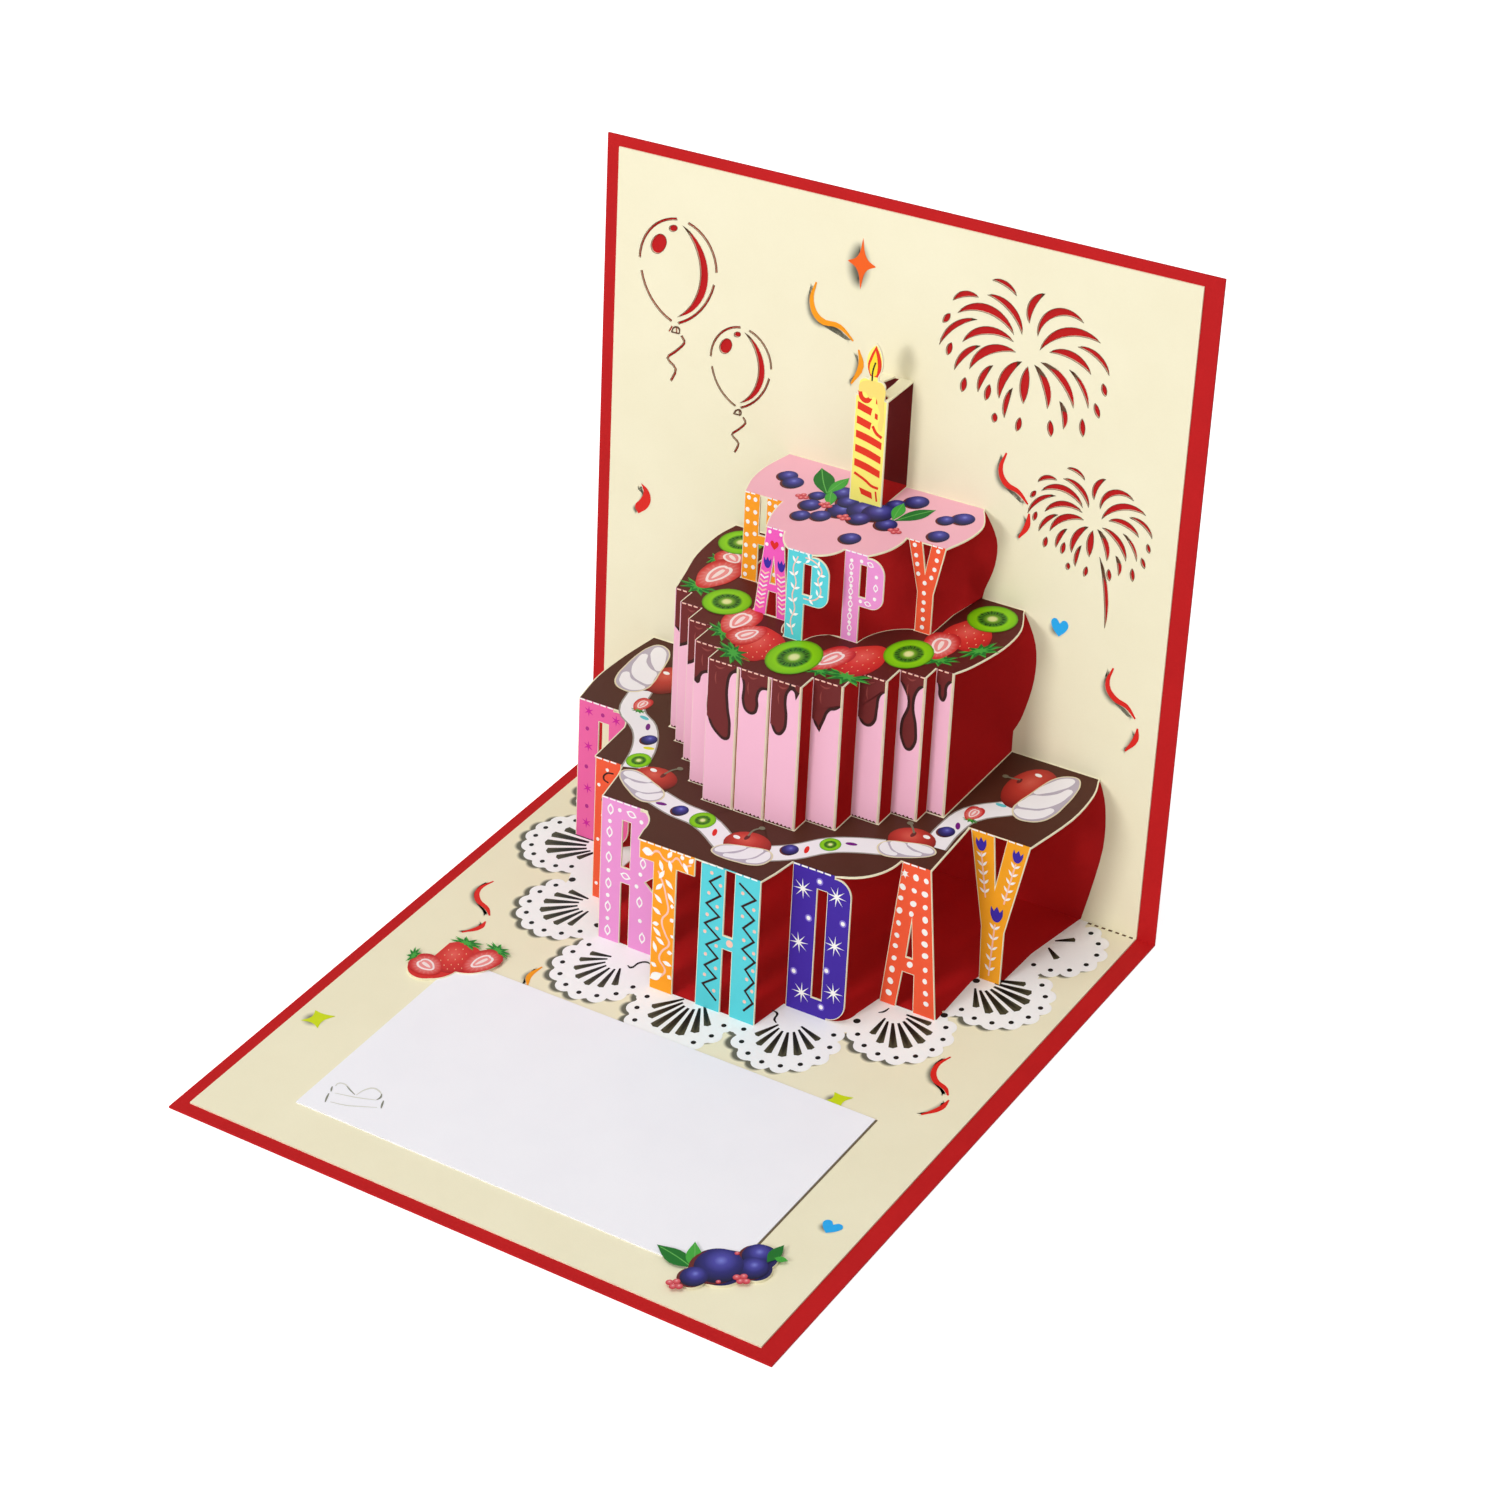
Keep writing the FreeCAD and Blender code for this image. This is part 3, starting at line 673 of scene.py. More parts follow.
# A thin brown edge round each window in the wall: partly the cutter's burn, partly painted shade along the
# cut edges.
def drawBurntEdgesAndShade(width):
    wall = uprightFace(0)
    field = sheetFaces(wall, lambda x, d, h: h > 1)
    field.transform(layMatrix(wall, 0, 0).inverted())
    seen = set()
    for edge in [e for e in field.edges if e.is_boundary]:
        if edge in seen:
            continue
        loop = [edge.verts[0], edge.verts[1]]
        seen.add(edge)
        while loop[-1] != loop[0]:
            onward = [e for e in loop[-1].link_edges if e.is_boundary and e not in seen]
            if not onward:
                break
            seen.add(onward[0])
            loop.append(onward[0].other_vert(loop[-1]))
        rim = [(v.co.x, v.co.y) for v in loop[:-1]]
        span = max(max(p[i] for p in rim) - min(p[i] for p in rim) for i in (0, 1))
        if len(rim) < 5 or span > 30:
            continue
        area = sum(p[0] * q[1] - q[0] * p[1] for p, q in zip(rim, rim[1:] + rim[:1]))
        if area < 0:
            rim.reverse()
        outer = []
        inner = []
        for p, q, r in zip(rim[-1:] + rim[:-1], rim, rim[1:] + rim[:1]):
            along = Vector((r[0] - p[0], r[1] - p[1]))
            if along.length < 0.001:
                along = Vector((1, 0))
            along.normalize()
            outer.append((q[0] + along.y * width, q[1] - along.x * width, 0))
            inner.append((q[0], q[1], 0))
        drawLoops("wall_print", "burntEdge", wall, [outer, inner], 1)
    field.free()


drawBurntEdgesAndShade(0.11)
print("colour fields laid on the card")


# Helpers for repeated prints

def drawDots(group, inkName, face, places, radius, level=1):
    for x, y in places:
        drawRound(group, inkName, face, x, y, radius, level=level)


def drawDashes(group, inkName, face, x0, x1, y, width, dash=ink["dash"], gap=ink["gap"], level=1):
    x = x0 + gap / 2
    while x + dash < x1:
        drawBox(group, inkName, face, x, x + dash, y - width / 2, y + width / 2, level)
        x += dash + gap


def drawLeaf(group, inkName, face, root, tip, width, level=1, vein=None):
    across = Vector((tip[0] - root[0], tip[1] - root[1]))
    turn = math.degrees(math.atan2(across.y, across.x))
    shape = outlineShape([leafLoop(across.length, width)])
    drawShape(group, inkName, face, shape, root[0], root[1], 1.0, turn, level)
    if vein:
        shape = outlineShape([strokeLoop([(0.1, 0), (across.length * 0.5, width * 0.05),
                                          (across.length * 0.9, 0)], 0.22)])
        drawShape(group, vein, face, shape, root[0], root[1], 1.0, turn, level + 1)


def drawSprig(group, stemInk, leafInk, face, points, length, width, pitch=1.0, spread=45, level=1, stem=0.35):
    drawStroke(group, stemInk, face, points, stem, level)
    for start, end in zip(points, points[1:]):
        along = Vector((end[0] - start[0], end[1] - start[1]))
        turn = math.degrees(math.atan2(along.y, along.x))
        count = max(1, round(along.length / pitch))
        for index in range(count):
            place = Vector(start[:2]) + along * ((index + 0.5) / count)
            for side in (-spread, spread):
                drawShape(group, leafInk, face, leaflet, place.x, place.y, length, turn + side, level + 1,
                          width)


# A row of small torn teeth, as perforated card leaves along a fold
def drawTeeth(group, inkName, face, x0, x1, y, height, pitch, level=1):
    count = round((x1 - x0) / pitch)
    loop = [(x1, y, 0), (x0, y, 0)]
    for index in range(count):
        x = x0 + (x1 - x0) * index / count
        loop.append((x + pitch * 0.1, y + height * random.uniform(0.7, 1.0), 0))
        loop.append((x + pitch * 0.55, y + height * 0.15, 0))
    drawLoops(group, inkName, face, [loop], level)


# Letter fronts

front = {key: uprightFace(values[0]) for key, values in bigLetters.items()}
upper = {key: uprightFace(values[0]) for key, values in smallLetters.items()}

bPrint = {
    "stars": ((-55.4, 32), (-47.9, 31.8), (-55.3, 23.3), (-55.2, 12.8), (-55.3, 4)),
    "dots": ((-51.6, 32.1), (-55.7, 27.6), (-55.7, 18.1), (-55.3, 8.2), (-46.2, 25.5), (-46.4, 9.5),
             (-49, 2.4)),
}
for x, h in bPrint["stars"]:
    drawShape("big_letters", "magenta", front["b"], asterisk, x, h, 1.35)
drawDots("big_letters", "plum", front["b"], bPrint["dots"], 0.5)

iPrint = {
    "dots": ((-38.0, 32.2), (-40.1, 28), (-38.9, 20.8), (-40.0, 14.6), (-38.7, 8.9), (-40.1, 3.6),
             (-36, 25), (-36, 11)),
    "spots": ((-39.0, 24.6), (-38.8, 19.9), (-38.9, 12.0), (-38.8, 5.1)),
}
drawDots("big_letters", "white", front["i"], iPrint["dots"], 0.42)
drawDots("big_letters", "darkBrown", front["i"], iPrint["spots"], 0.4)
drawStroke("big_letters", "darkBrown", front["i"], [(-36.3, 31.8), (-38.2, 31.3), (-38.9, 29.8),
                                                    (-37.6, 29.2)], 0.35)

rPrint = {
    "dots": ((-29, 29.1), (-29, 23.6), (-29, 17.1), (-29, 11), (-28.9, 5.3), (-26.5, 32.5), (-20.8, 31.4),
             (-21.5, 15.6), (-20.3, 7.5), (-20.6, 18.8)),
    "ovals": ((-28.9, 32, 0), (-29, 26.5, 0), (-29, 20.4, 0), (-28.9, 14, 0), (-28.9, 8.3, 0),
              (-28.8, 2.4, 0),
              (-23.4, 32.4, 75), (-24.5, 17.1, 80), (-20, 21.6, 0), (-20.6, 12, 0), (-19.6, 3.5, 0),
              (-18.2, 27, 0)),
}
drawDots("big_letters", "white", front["r"], rPrint["dots"], 0.5)
for x, h, turn in rPrint["ovals"]:
    drawShape("big_letters", "white", front["r"], ovalRing, x, h, 0.85, turn, 1, 1.45)

tPrint = {
    "stem": [(-9.9, 28.6), (-8.4, 25.6), (-7.5, 22.6), (-7.0, 19.8), (-8.5, 17.2), (-7.4, 14), (-6.4, 12.2),
             (-8.3, 9.6), (-8.8, 7.6), (-7.2, 5.4), (-8.2, 3.6)],
    "bar": [(-12, 31.6), (-10.2, 33.2), (-8.6, 31.9), (-6.8, 31.7), (-5.2, 33.1), (-3.6, 31.8), (-1.6, 32.6)],
    "leaves": ((-9.6, 26.9, 60), (-8, 27.2, -40), (-10.3, 24, 50), (-7.3, 24.2, -50), (-8.6, 21.2, 140),
               (-6.5, 21.3, 0), (-8.8, 18.4, 150), (-6.4, 17.6, 40), (-9.2, 16, 190), (-8.6, 13.2, 140),
               (-5.9, 13.8, 60), (-7.6, 11.4, 150), (-6.9, 9.9, 10), (-9.6, 9, 110), (-7.9, 7.4, -10),
               (-9.4, 5.6, 160), (-6.6, 4.4, -30), (-7.6, 32.4, 60), (-7.2, 32.0, -75), (-3.7, 33.1, 110),
               (-3.6, 32.6, -60), (-9.6, 31.3, -70), (-2.2, 32.9, 50)),
}
drawStroke("big_letters", "paleRose", front["t"], tPrint["stem"], 0.42)
drawStroke("big_letters", "paleRose", front["t"], tPrint["bar"], 0.4)
for x, h, turn in tPrint["leaves"]:
    away = math.cos(math.radians(turn))
    side = (-11.0, -5.5) if h < 30 else (-14.7, -0.9)
    room = (side[1] - x) / away if away > 0 else (side[0] - x) / away
    upRoom = 2.7 if turn < 0 or h < 30 else (34.3 - h) / math.sin(math.radians(turn))
    drawShape("big_letters", "white", front["t"], leaflet, x, h, min(2.7, room, upRoom), turn, 2, 1.8)
drawLeaf("big_letters", "white", front["t"], (-11, 2.2), (-7.9, 4.4), 1.9, 2)
drawLeaf("big_letters", "white", front["t"], (-14.2, 32.2), (-11.2, 32.4), 1.9, 2)

hPrint = {
    "left": [(6, 32.7), (3.2, 30.4), (6, 27.9), (2.6, 25.1), (5.9, 22.9), (2.4, 20.3), (6.2, 17.7), (3, 15.3),
             (6, 13), (2.8, 10.3), (5.8, 8.1), (2.5, 5.7), (6.1, 2.7)],
    "right": [(10.5, 32.5), (14.7, 29.8), (11.5, 27.3), (14.6, 25), (12, 22.3), (14.8, 19.9), (12, 17.3),
              (15.3, 15.2), (13, 12.7), (15.3, 10.3), (13.2, 7.6), (15.3, 5.3), (13, 2.7)],
    "dots": ((3.6, 32.6), (5.9, 30.3), (3.1, 27.7), (5.3, 25.1), (2.9, 22.5), (5.5, 20), (2.5, 18.3),
             (5.5, 15.8),
             (2.9, 13), (5.6, 10.4), (2.9, 8), (5.4, 4.9), (11.5, 30.4), (14.4, 27.4), (11.7, 25),
             (14.8, 22.4),
             (12.3, 19.5), (14.9, 17.2), (12.7, 15.3), (14.9, 13), (13.5, 10.5), (14.9, 8.1), (13.2, 5)),
}
for side in ("left", "right"):
    drawStroke("big_letters", "darkBrown", front["h"], [p + (0,) for p in hPrint[side]], 0.5)
drawDots("big_letters", "paleRose", front["h"], hPrint["dots"], 0.42)
drawRound("big_letters", "paleRose", front["h"], 8.8, 17.4, 0.85)

dPrint = {
    "stars": ((20.5, 29.2, 5), (28.8, 29.9, -5), (20.2, 16.3, 8), (29, 18.3, -4), (29.4, 7.1, 6),
              (21.6, 4.6, 0)),
    "dots": ((24.5, 32.1), (22.3, 22.8), (30.7, 24.2), (27.4, 11.9), (19.4, 9.1), (26.6, 2.8)),
}
for x, h, turn in dPrint["stars"]:
    drawShape("big_letters", "white", front["d"], starburst, x, h, 2.45, turn)
    drawRound("big_letters", "white", front["d"], x, h, 0.55, level=2)
drawDots("big_letters", "violetGlow", front["d"], dPrint["dots"], 0.85)
drawDots("big_letters", "white", front["d"], dPrint["dots"], 0.5, 2)

aPrint = (
    (38.2, 31.9), (40.9, 31.8), (43.4, 31.8), (37.9, 28.7), (40.7, 28.7), (43.3, 28.7), (37.6, 26),
    (40.7, 25.6),
    (43.6, 25.7), (37.5, 23), (40.4, 23.1), (43.8, 22.8), (37.5, 20), (43.9, 19.9), (37.3, 17), (44.1, 17.1),
    (37.1, 14.4), (44.4, 14.4), (37, 11.4), (40.9, 11.1), (44.7, 11.1), (36.7, 8.6), (44.8, 8.4), (36.5, 5.7),
    (45.2, 5.6), (36.3, 2.8), (45.5, 3.2))
for index, (x, h) in enumerate(aPrint):
    drawShape("big_letters", "white", front["a"], softDiamond, x, h, 0.8 if index % 2 else 0.65, index * 17)
drawShape("big_letters", "white", front["a"], asterisk, 38.2, 31.9, 1.1, 10, 2)

for x, h, turn, size in ((46.4, 31.6, 6, 1.35), (55.2, 31.4, -8, 1.3), (51.4, 16.4, 0, 1.6)):
    drawShape("big_letters", "purple", front["y"], tulip, x, h, size, turn, 3)
drawSprig("big_letters", "paleRose", "white", front["y"], [(48.4, 19.6), (46.6, 29.8)], 1.7, 0.95, 2.1)
drawSprig("big_letters", "paleRose", "white", front["y"], [(52.9, 19.4), (54.9, 29.6)], 1.7, 0.95, 2.1)
drawSprig("big_letters", "paleRose", "white", front["y"], [(50.7, 1.4), (51.2, 14)], 1.8, 1.0, 2.3)

stitch = {"width": 0.35, "dash": 1.5, "gap": 0.4}
for key, spans in {
    "b": ((-58.2, -48.4),), "i": ((-41.2, -34.4),), "r": ((-31.3, -21),), "t": ((-14.9, -0.7),),
    "h": ((0.9, 7), (9.4, 15.8)), "d": ((17.8, 28),), "a": ((37.5, 44.3),), "y": ((43.7, 49.3), (52.6, 58)),
}.items():
    for x0, x1 in spans:
        drawDashes(
            "big_letters", "white", front[key], x0, x1, card["tier1"] - 0.2, stitch["width"],
            stitch["dash"], stitch["gap"])
print("large letters printed")

small = {
    "h": ((-22.5, 87), (-20.8, 86.9), (-22.7, 84.2), (-20.7, 84), (-22.5, 81.4), (-20.6, 81.5), (-22.6, 78.4),
          (-20.6, 79), (-22.7, 75.9), (-20.5, 76.3), (-22.6, 73.5), (-20.6, 73.6), (-22.5, 71), (-20.6, 71.2),
          (-22.6, 69.1), (-17.2, 87), (-15.6, 86.7), (-17, 84.6), (-15.3, 84.2), (-16.8, 81.8), (-15, 81.6),
          (-17, 78.8), (-15.2, 78.9), (-16.9, 76.1), (-15.1, 76.4), (-16.8, 73.3), (-15.2, 73.6), (-17, 70.6),
          (-15.1, 70.9)),
    "y": ((19.2, 87.2), (19.7, 85), (20.1, 83.1), (20.5, 81), (24.9, 87.2), (24.7, 85.1), (24.3, 82.9),
          (23.7, 80.9), (22.2, 79.3), (22.2, 77), (22.3, 74.9), (22.2, 73.1), (22.4, 71.1), (22.3, 69.2)),
}
for key, places in small.items():
    drawDots("small_letters", "white", upper[key], places, 0.5)

drawShape("small_letters", "streamerRed", upper["a"], heart, -9.1, 84.4, 1.05)
for x in (-10.6, -7.1):
    drawShape("small_letters", "purple", upper["a"], tulip, x, 80, 1.0, 0, 2, 1.1)
drawDots("small_letters", "white", upper["a"], ((-11, 84.2), (-7, 84.2), (-10.4, 87.2), (-7.6, 87.2)), 0.42)
for index in range(9):
    h = 69.4 + index * 1.02
    for middle in (-12.1 + index * 0.13, -6.3 - index * 0.1):
        chevron = [(middle - 1.0, h + 0.45, 0), (middle, h - 0.15, 0), (middle + 1.0, h + 0.45, 0)]
        drawStroke("small_letters", "white" if index % 2 else "paleRose", upper["a"], chevron, 0.34)

drawSprig("small_letters", "paleRose", "white", upper["p"], [
    (-0.2, 69), (-0.9, 72), (0, 75), (-0.8, 78), (0, 81), (-0.9, 84), (0.2, 87)], 1.6, 1.0, 2.6, 50, stem=0.3)
drawSprig("small_letters", "paleRose", "white", upper["p"], [
    (2, 77.9), (4.8, 78.3), (6.2, 80.5), (5.3, 83), (6.2, 85), (4.4, 86.8), (2, 87.2)], 1.5, 1.0, 2.6, 50,
    stem=0.3)

qPrint = {
    "dots": ((10.1, 86.2), (10.2, 83.3), (10.3, 80.5), (10.3, 77.8), (10.4, 75), (10.4, 72.2), (10.5, 69.5),
             (12.5, 86.6), (16.3, 84), (16.2, 79), (12.8, 77.6)),
    "ovals": ((10.1, 84.8, 0), (10.2, 81.9, 0), (10.3, 79.2, 0), (10.4, 76.4, 0), (10.4, 73.6, 0),
              (10.5, 70.9, 0), (14.7, 86.4, 70), (16.3, 81.5, 0), (14.6, 77.5, 80)),
}
drawDots("small_letters", "white", upper["q"], qPrint["dots"], 0.42)
for x, h, turn in qPrint["ovals"]:
    drawShape("small_letters", "white", upper["q"], ovalRing, x, h, 0.6, turn, 1, 0.95)
for key, x0, x1 in (("h", -23.6, -19.6), ("h", -17.9, -14), ("a", -11.2, -6.9), ("p", -2.4, 3.6),
                    ("q", 8.4, 14),
                    ("y", 17.7, 20.8), ("y", 23.3, 26.7)):
    drawDashes("small_letters", "white", upper[key], x0, x1, card["tier3"] - 0.15, 0.3, 1.1, 0.3)
print("small letters printed")


# Slats with chocolate drips; each drip is drawn inside its own slat

dripForm = {"rim": 0.7, "reach": 0.95}


def drawDrip(depth, x0, x1, loop):
    face = uprightFace(depth)
    outer = outlineShape([loop], 5)
    stamp("slats", "dripEdge", outer, layMatrix(face, 0, 0, ink["step"]))
    keepTop(outer)
    bmesh.ops.delete(outer, geom=insetRim(outer, dripForm["rim"]), context="FACES")
    for vert in outer.verts:
        for edge in (x0, x1):
            if abs(vert.co.x - edge) < dripForm["reach"]:
                vert.co.x = edge
        if abs(vert.co.y - card["tier2"]) < dripForm["reach"]:
            vert.co.y = card["tier2"]
    thicken(outer, (0, 0, -ink["thick"]))
    stamp("slats", "drip", outer, layMatrix(face, 0, 0, ink["step"] * 2))
    outer.free()


top = card["tier2"]
drips = {
    "left1": (28.5, -33.45, -29.75, [(58.9, 0), (-32, 57.6), (-30.4, 56.2, 0), (57.6, 1)]),
    "left2": (32.7, -29.25, -24.25, [(57.4, 0), (-27.6, 58.2), (-25.6, 59.4), (59.2, 1)]),
    "left3": (37.7, -23.75, -18.25, [(57.3, 0), (-22, 58.4), (-20.6, 60.5), (60.6, 1)]),
    "left4": (44.0, -17.75, -11.85, [(58.6, 0), (-16.8, 58.2), (-15.8, 60.5), (-14.2, 61.3), (61.0, 1)]),
    "middle1": (48.4, -11.35, -4.15, [
        (61, 0), (-11.1, 54.5), (-9.2, 51.5), (-6.0, 50.4), (-5.2, 53.5), (-5.9, 58), (-6.2, 63.0),
        (-5.3, 66), (66.6, 1)]),
    "middle2": (48.4, -3.25, 3.65, [
        (66.4, 0), (-2.7, 64.5), (-2.7, 60.3), (-1.6, 58.4), (0.5, 58.4), (1.4, 60.3), (1.3, 62.6),
        (2.1, 64.4),
        (64.8, 1)]),
    "middle3": (48.4, 4.55, 11.55, [
        (59, 0), (4.9, 57), (6.4, 55.4), (8.1, 56.6), (8.7, 60), (8.3, 64), (8.8, 66), (9.6, 66.6),
        (10.5, 64.6, 0),
        (66.9, 1)]),
    "right4": (44.0, 12.05, 18.95, [
        (60.5, 0), (12.5, 58), (14, 56, 0), (15, 58.6), (16.4, 61.6), (17.6, 62.1), (63.2, 1)]),
    "right3": (37.7, 19.45, 25.75, [
        (60, 0), (20, 57.2), (21.8, 56.3), (23.6, 57.6), (24.2, 61), (24.6, 64), (65.3, 1)]),
    "right2": (32.7, 26.25, 32.05, [
        (65.5, 0), (28.3, 61.5), (26.9, 56), (27.5, 51.8), (29.1, 50.2), (30.8, 51.8), (31, 56), (30, 61),
        (30.7, 64.3), (65.8, 1)]),
    "right1": (28.5, 32.55, 36.35, [
        (65.5, 0), (33.0, 64), (33.3, 61.8), (34.3, 60.9), (35.1, 62), (35.3, 64.6), (66, 1)]),
}
for depth, x0, x1, edge in drips.values():
    lower = [(x0 if p[1] == 0 else x1, p[0], 0) if p in (edge[0], edge[-1]) else p for p in edge]
    drawDrip(depth, x0, x1, [(x0, top, 0)] + lower + [(x1, top, 0)])
    drawDashes("slats", "paleRose", uprightFace(depth), x0, x1, top - 0.2, 0.3, 1.0, 0.5, 3)
    drawTeeth("slats", "chocolate", uprightFace(depth), x0, x1, card["tier1"], 0.6, 0.95)
    if x1 > -12:
        cut = x1 + 0.13
        drawBox("slats", "cutCream", uprightFace(depth), cut - 0.28, cut, card["tier1"], top, 4)
# Short pale glints where each drip bends over the fold
glints = {
    "left2": (-27.6, -25.6), "left3": (-22.4, -20.2), "left4": (-16.2, -13.6), "middle1": (-9.8, -7.4),
    "middle2": (-1.6, 0.9), "middle3": (6, 8.3), "right4": (13.6, 16.2), "right3": (21, 23),
    "right2": (27.8, 30)}
for key, (x0, x1) in glints.items():
    face = uprightFace(drips[key][0])
    drawStroke("slats", "dripLight", face, [(x0, top - 1.2), ((x0 + x1) / 2, top - 1.55), (x1, top - 1.1)],
               0.4, 3, 0.2)
    drawStroke("slats", "dripLight", face, [(x0 + 0.4, top - 2.6), (x0 + 0.25, top - 4),
                                            (x0 + 0.5, top - 5.4)], 0.34, 3, 0.2)
print("slats printed")


# Candle

candleFace = uprightFace(card["candleDepth"])
for low in (109.9, 106.7):
    drawLoops("candle", "bandRed", candleFace, [[
        (-1.35, low + 0.8, 0), (2.3, low - 0.1, 0), (2.0, low - 1.7, 0), (-1.35, low - 0.9, 0)]])
for low in (103.4, 100.2, 97.0):
    drawLoops("candle", "bandRed", candleFace, [[
        (-1.35, low + 0.85, 0), (1.7, low + 0.35), (5.05, low - 0.6, 0), (5.05, low - 2.2, 0),
        (1.7, low - 1.35),
        (-1.35, low - 0.75, 0)]])
drawStroke("candle", "bandRed", candleFace, [(-1.0, 113.2), (-0.4, 111.6), (0.9, 111.3), (1.7, 112.2)], 1.0)
drawLoops("candle", "bandRed", candleFace,
          [[(3.1, 112.3, 0), (5.05, 111.9, 0), (5.05, 110.7, 0), (3.1, 111.1, 0)]])
drawLoops("candle", "bandRed", candleFace,
          [[(3.0, 109, 0), (3.7, 108.8, 0), (3.7, 107.6, 0), (3.0, 107.8, 0)]])
drawStroke("candle", "bandRed", candleFace, [(2.6, 106), (3.6, 104.6), (5.0, 103.9)], 0.7)
drawStroke("candle", "bandRed", candleFace, [(-1.2, 94.6), (1.8, 93.4), (3.2, 92.6), (4.9, 92.4)], 0.6)
drawLoops("candle", "bandRed", candleFace, [[(0.2, 91.6, 0), (3.3, 91.1, 0), (3.6, 89.7, 0), (0.8, 90.2, 0)]])
drawStroke("candle", "bandRed", candleFace, [(4.3, 91.6), (4.7, 89.4)], 0.4)
drawLoops("candle", "waxYellow", candleFace, [[
    (-1.3, 112.9, 0), (-1.2, 114.6), (0.9, 115.8), (3.3, 115.9), (5.0, 115.0), (5.05, 112, 0), (5.05, 106.4),
    (4.5, 105.2), (3.9, 106.2), (4.3, 108.8), (3.6, 110.6), (2.7, 112.6), (1.6, 111.9), (0.4, 113.0)]], 2)
drawLoops("candle", "bandRed", candleFace, [[
    (1.25, 116.9, 0), (0.55, 118.8), (1.1, 121.2), (2.35, 123.8, 0), (3.6, 121.2), (3.8, 118.8),
    (3.05, 116.9, 0)]])
drawLoops("candle", "flameYellow", candleFace, [[
    (1.6, 117.1), (1.0, 118.8), (1.6, 120.9), (2.25, 122.6, 0), (2.8, 120.6), (2.95, 118.6),
    (2.5, 117.1)]], 2)
drawStroke("candle", "black", candleFace, [(1.8, 115.9), (1.85, 118), (2.4, 120.1)], 0.36, 3)
# Painted shadow: a dark red patch on the cover behind the candle, where the candle shades the window in the
# wall.
behind = uprightFace(-card["sheetThick"] / math.cos(lean))
drawBox("candle", "deepRed", behind, -2.0, 5.8, card["tier3"] + 0.1, card["candleTop"] - 0.6)
print("candle printed")


# Fruit and cream

def drawKiwi(group, face, x, y, radiusX, radiusY, level=2):
    drawRound(group, "kiwi", face, x, y, radiusX, radiusY, 0, level)
    seeds = 15 if radiusX > 3 else 9
    for index in range(seeds):
        angle = math.tau * (index + random.uniform(-0.2, 0.2)) / seeds
        reach = random.uniform(0.36, 0.46)
        drawShape(
            group, "seedDark", face, leaflet, x + radiusX * reach * math.cos(angle),
            y + radiusY * reach * math.sin(angle), radiusX * 0.16, math.degrees(angle), level + 1,
            radiusX * 0.1)


def drawBerry(group, face, x, y, radius, level=1):
    drawRound(group, "berryShade", face, x - radius * 0.12, y + radius * 0.16, radius * 1.03, radius * 1.0,
              0, level)
    drawRound(group, "blueberry", face, x, y, radius, radius, 0, level + 1)


def drawCurrant(group, face, x, y, size, level=3):
    for dx, dy in ((-0.7, 0.1), (0, -0.5), (0.1, 0.5), (0.8, 0.1)):
        drawRound(group, "currant", face, x + dx * size, y + dy * size, size * 0.52, level=level)


def drawCrown(group, face, x, y, size, turn, squash=0.5, level=1):
    drawShape(group, "leafLight", face, calyx, x, y, size * 1.18, turn + 6, level, size * squash * 1.2)
    drawShape(group, "leafDark", face, calyx, x, y, size * 1.06, turn, level + 1, size * squash * 1.02)
    drawShape(group, "leafLight", face, calyx, x, y, size * 0.6, turn + 14, level + 2, size * squash * 0.55)


def drawSlice(group, face, x, y, sizeX, sizeY, turn, level=2):
    drawShape(group, "strawberrySlice", face, berryShape, x, y, sizeX, turn, level, sizeY)
    drawShape(group, "sliceHeart", face, berryShape, x, y, sizeX * 0.5, turn, level + 1, sizeY * 0.58)
    drawShape(group, "slicePink", face, berryShape, x, y, sizeX * 0.36, turn, level + 2, sizeY * 0.46)
    drawShape(group, "sliceSlit", face, berryShape, x, y, sizeX * 0.13, turn, level + 3, sizeY * 0.34)


def drawWhole(group, face, x, y, sizeX, sizeY, turn, level=2):
    drawShape(group, "strawberryWhole", face, berryShape, x, y, sizeX, turn, level, sizeY)
    angle = math.radians(turn)
    for row, offset in ((-0.5, 0.0), (-0.18, 0.5), (0.14, 0.0), (0.46, 0.5), (0.72, 0.0)):
        for step in (-2, -1, 0, 1, 2):
            across = (step + offset) * 0.34
            if abs(across) < 0.72 - abs(row - 0.2) * 0.5:
                dx = across * sizeX
                dy = row * sizeY
                place = (x + dx * math.cos(angle) - dy * math.sin(angle),
                         y + dx * math.sin(angle) + dy * math.cos(angle))
                drawRound(group, "seedPale", face, place[0], place[1], 0.1, 0.2, turn, level + 1)


def drawCherry(face, x, y, radiusX, radiusY, shine, stem):
    drawRound("tier_1_top", "cherry", face, x, y, radiusX, radiusY, 0, 4)
    drawRound("tier_1_top", "white", face, shine[0], shine[1], 0.9, 0.55, 10, 5)
    drawRound("tier_1_top", "berryShade", face, stem[0][0] + 0.1, stem[0][1] + 0.5, 0.5, 1.0, 0, 5)
    drawStroke("tier_1_top", "stemOlive", face, stem, 0.45, 5)
    drawRound("tier_1_top", "stemOlive", face, stem[-1][0], stem[-1][1], 0.75, 0.6, 0, 5)


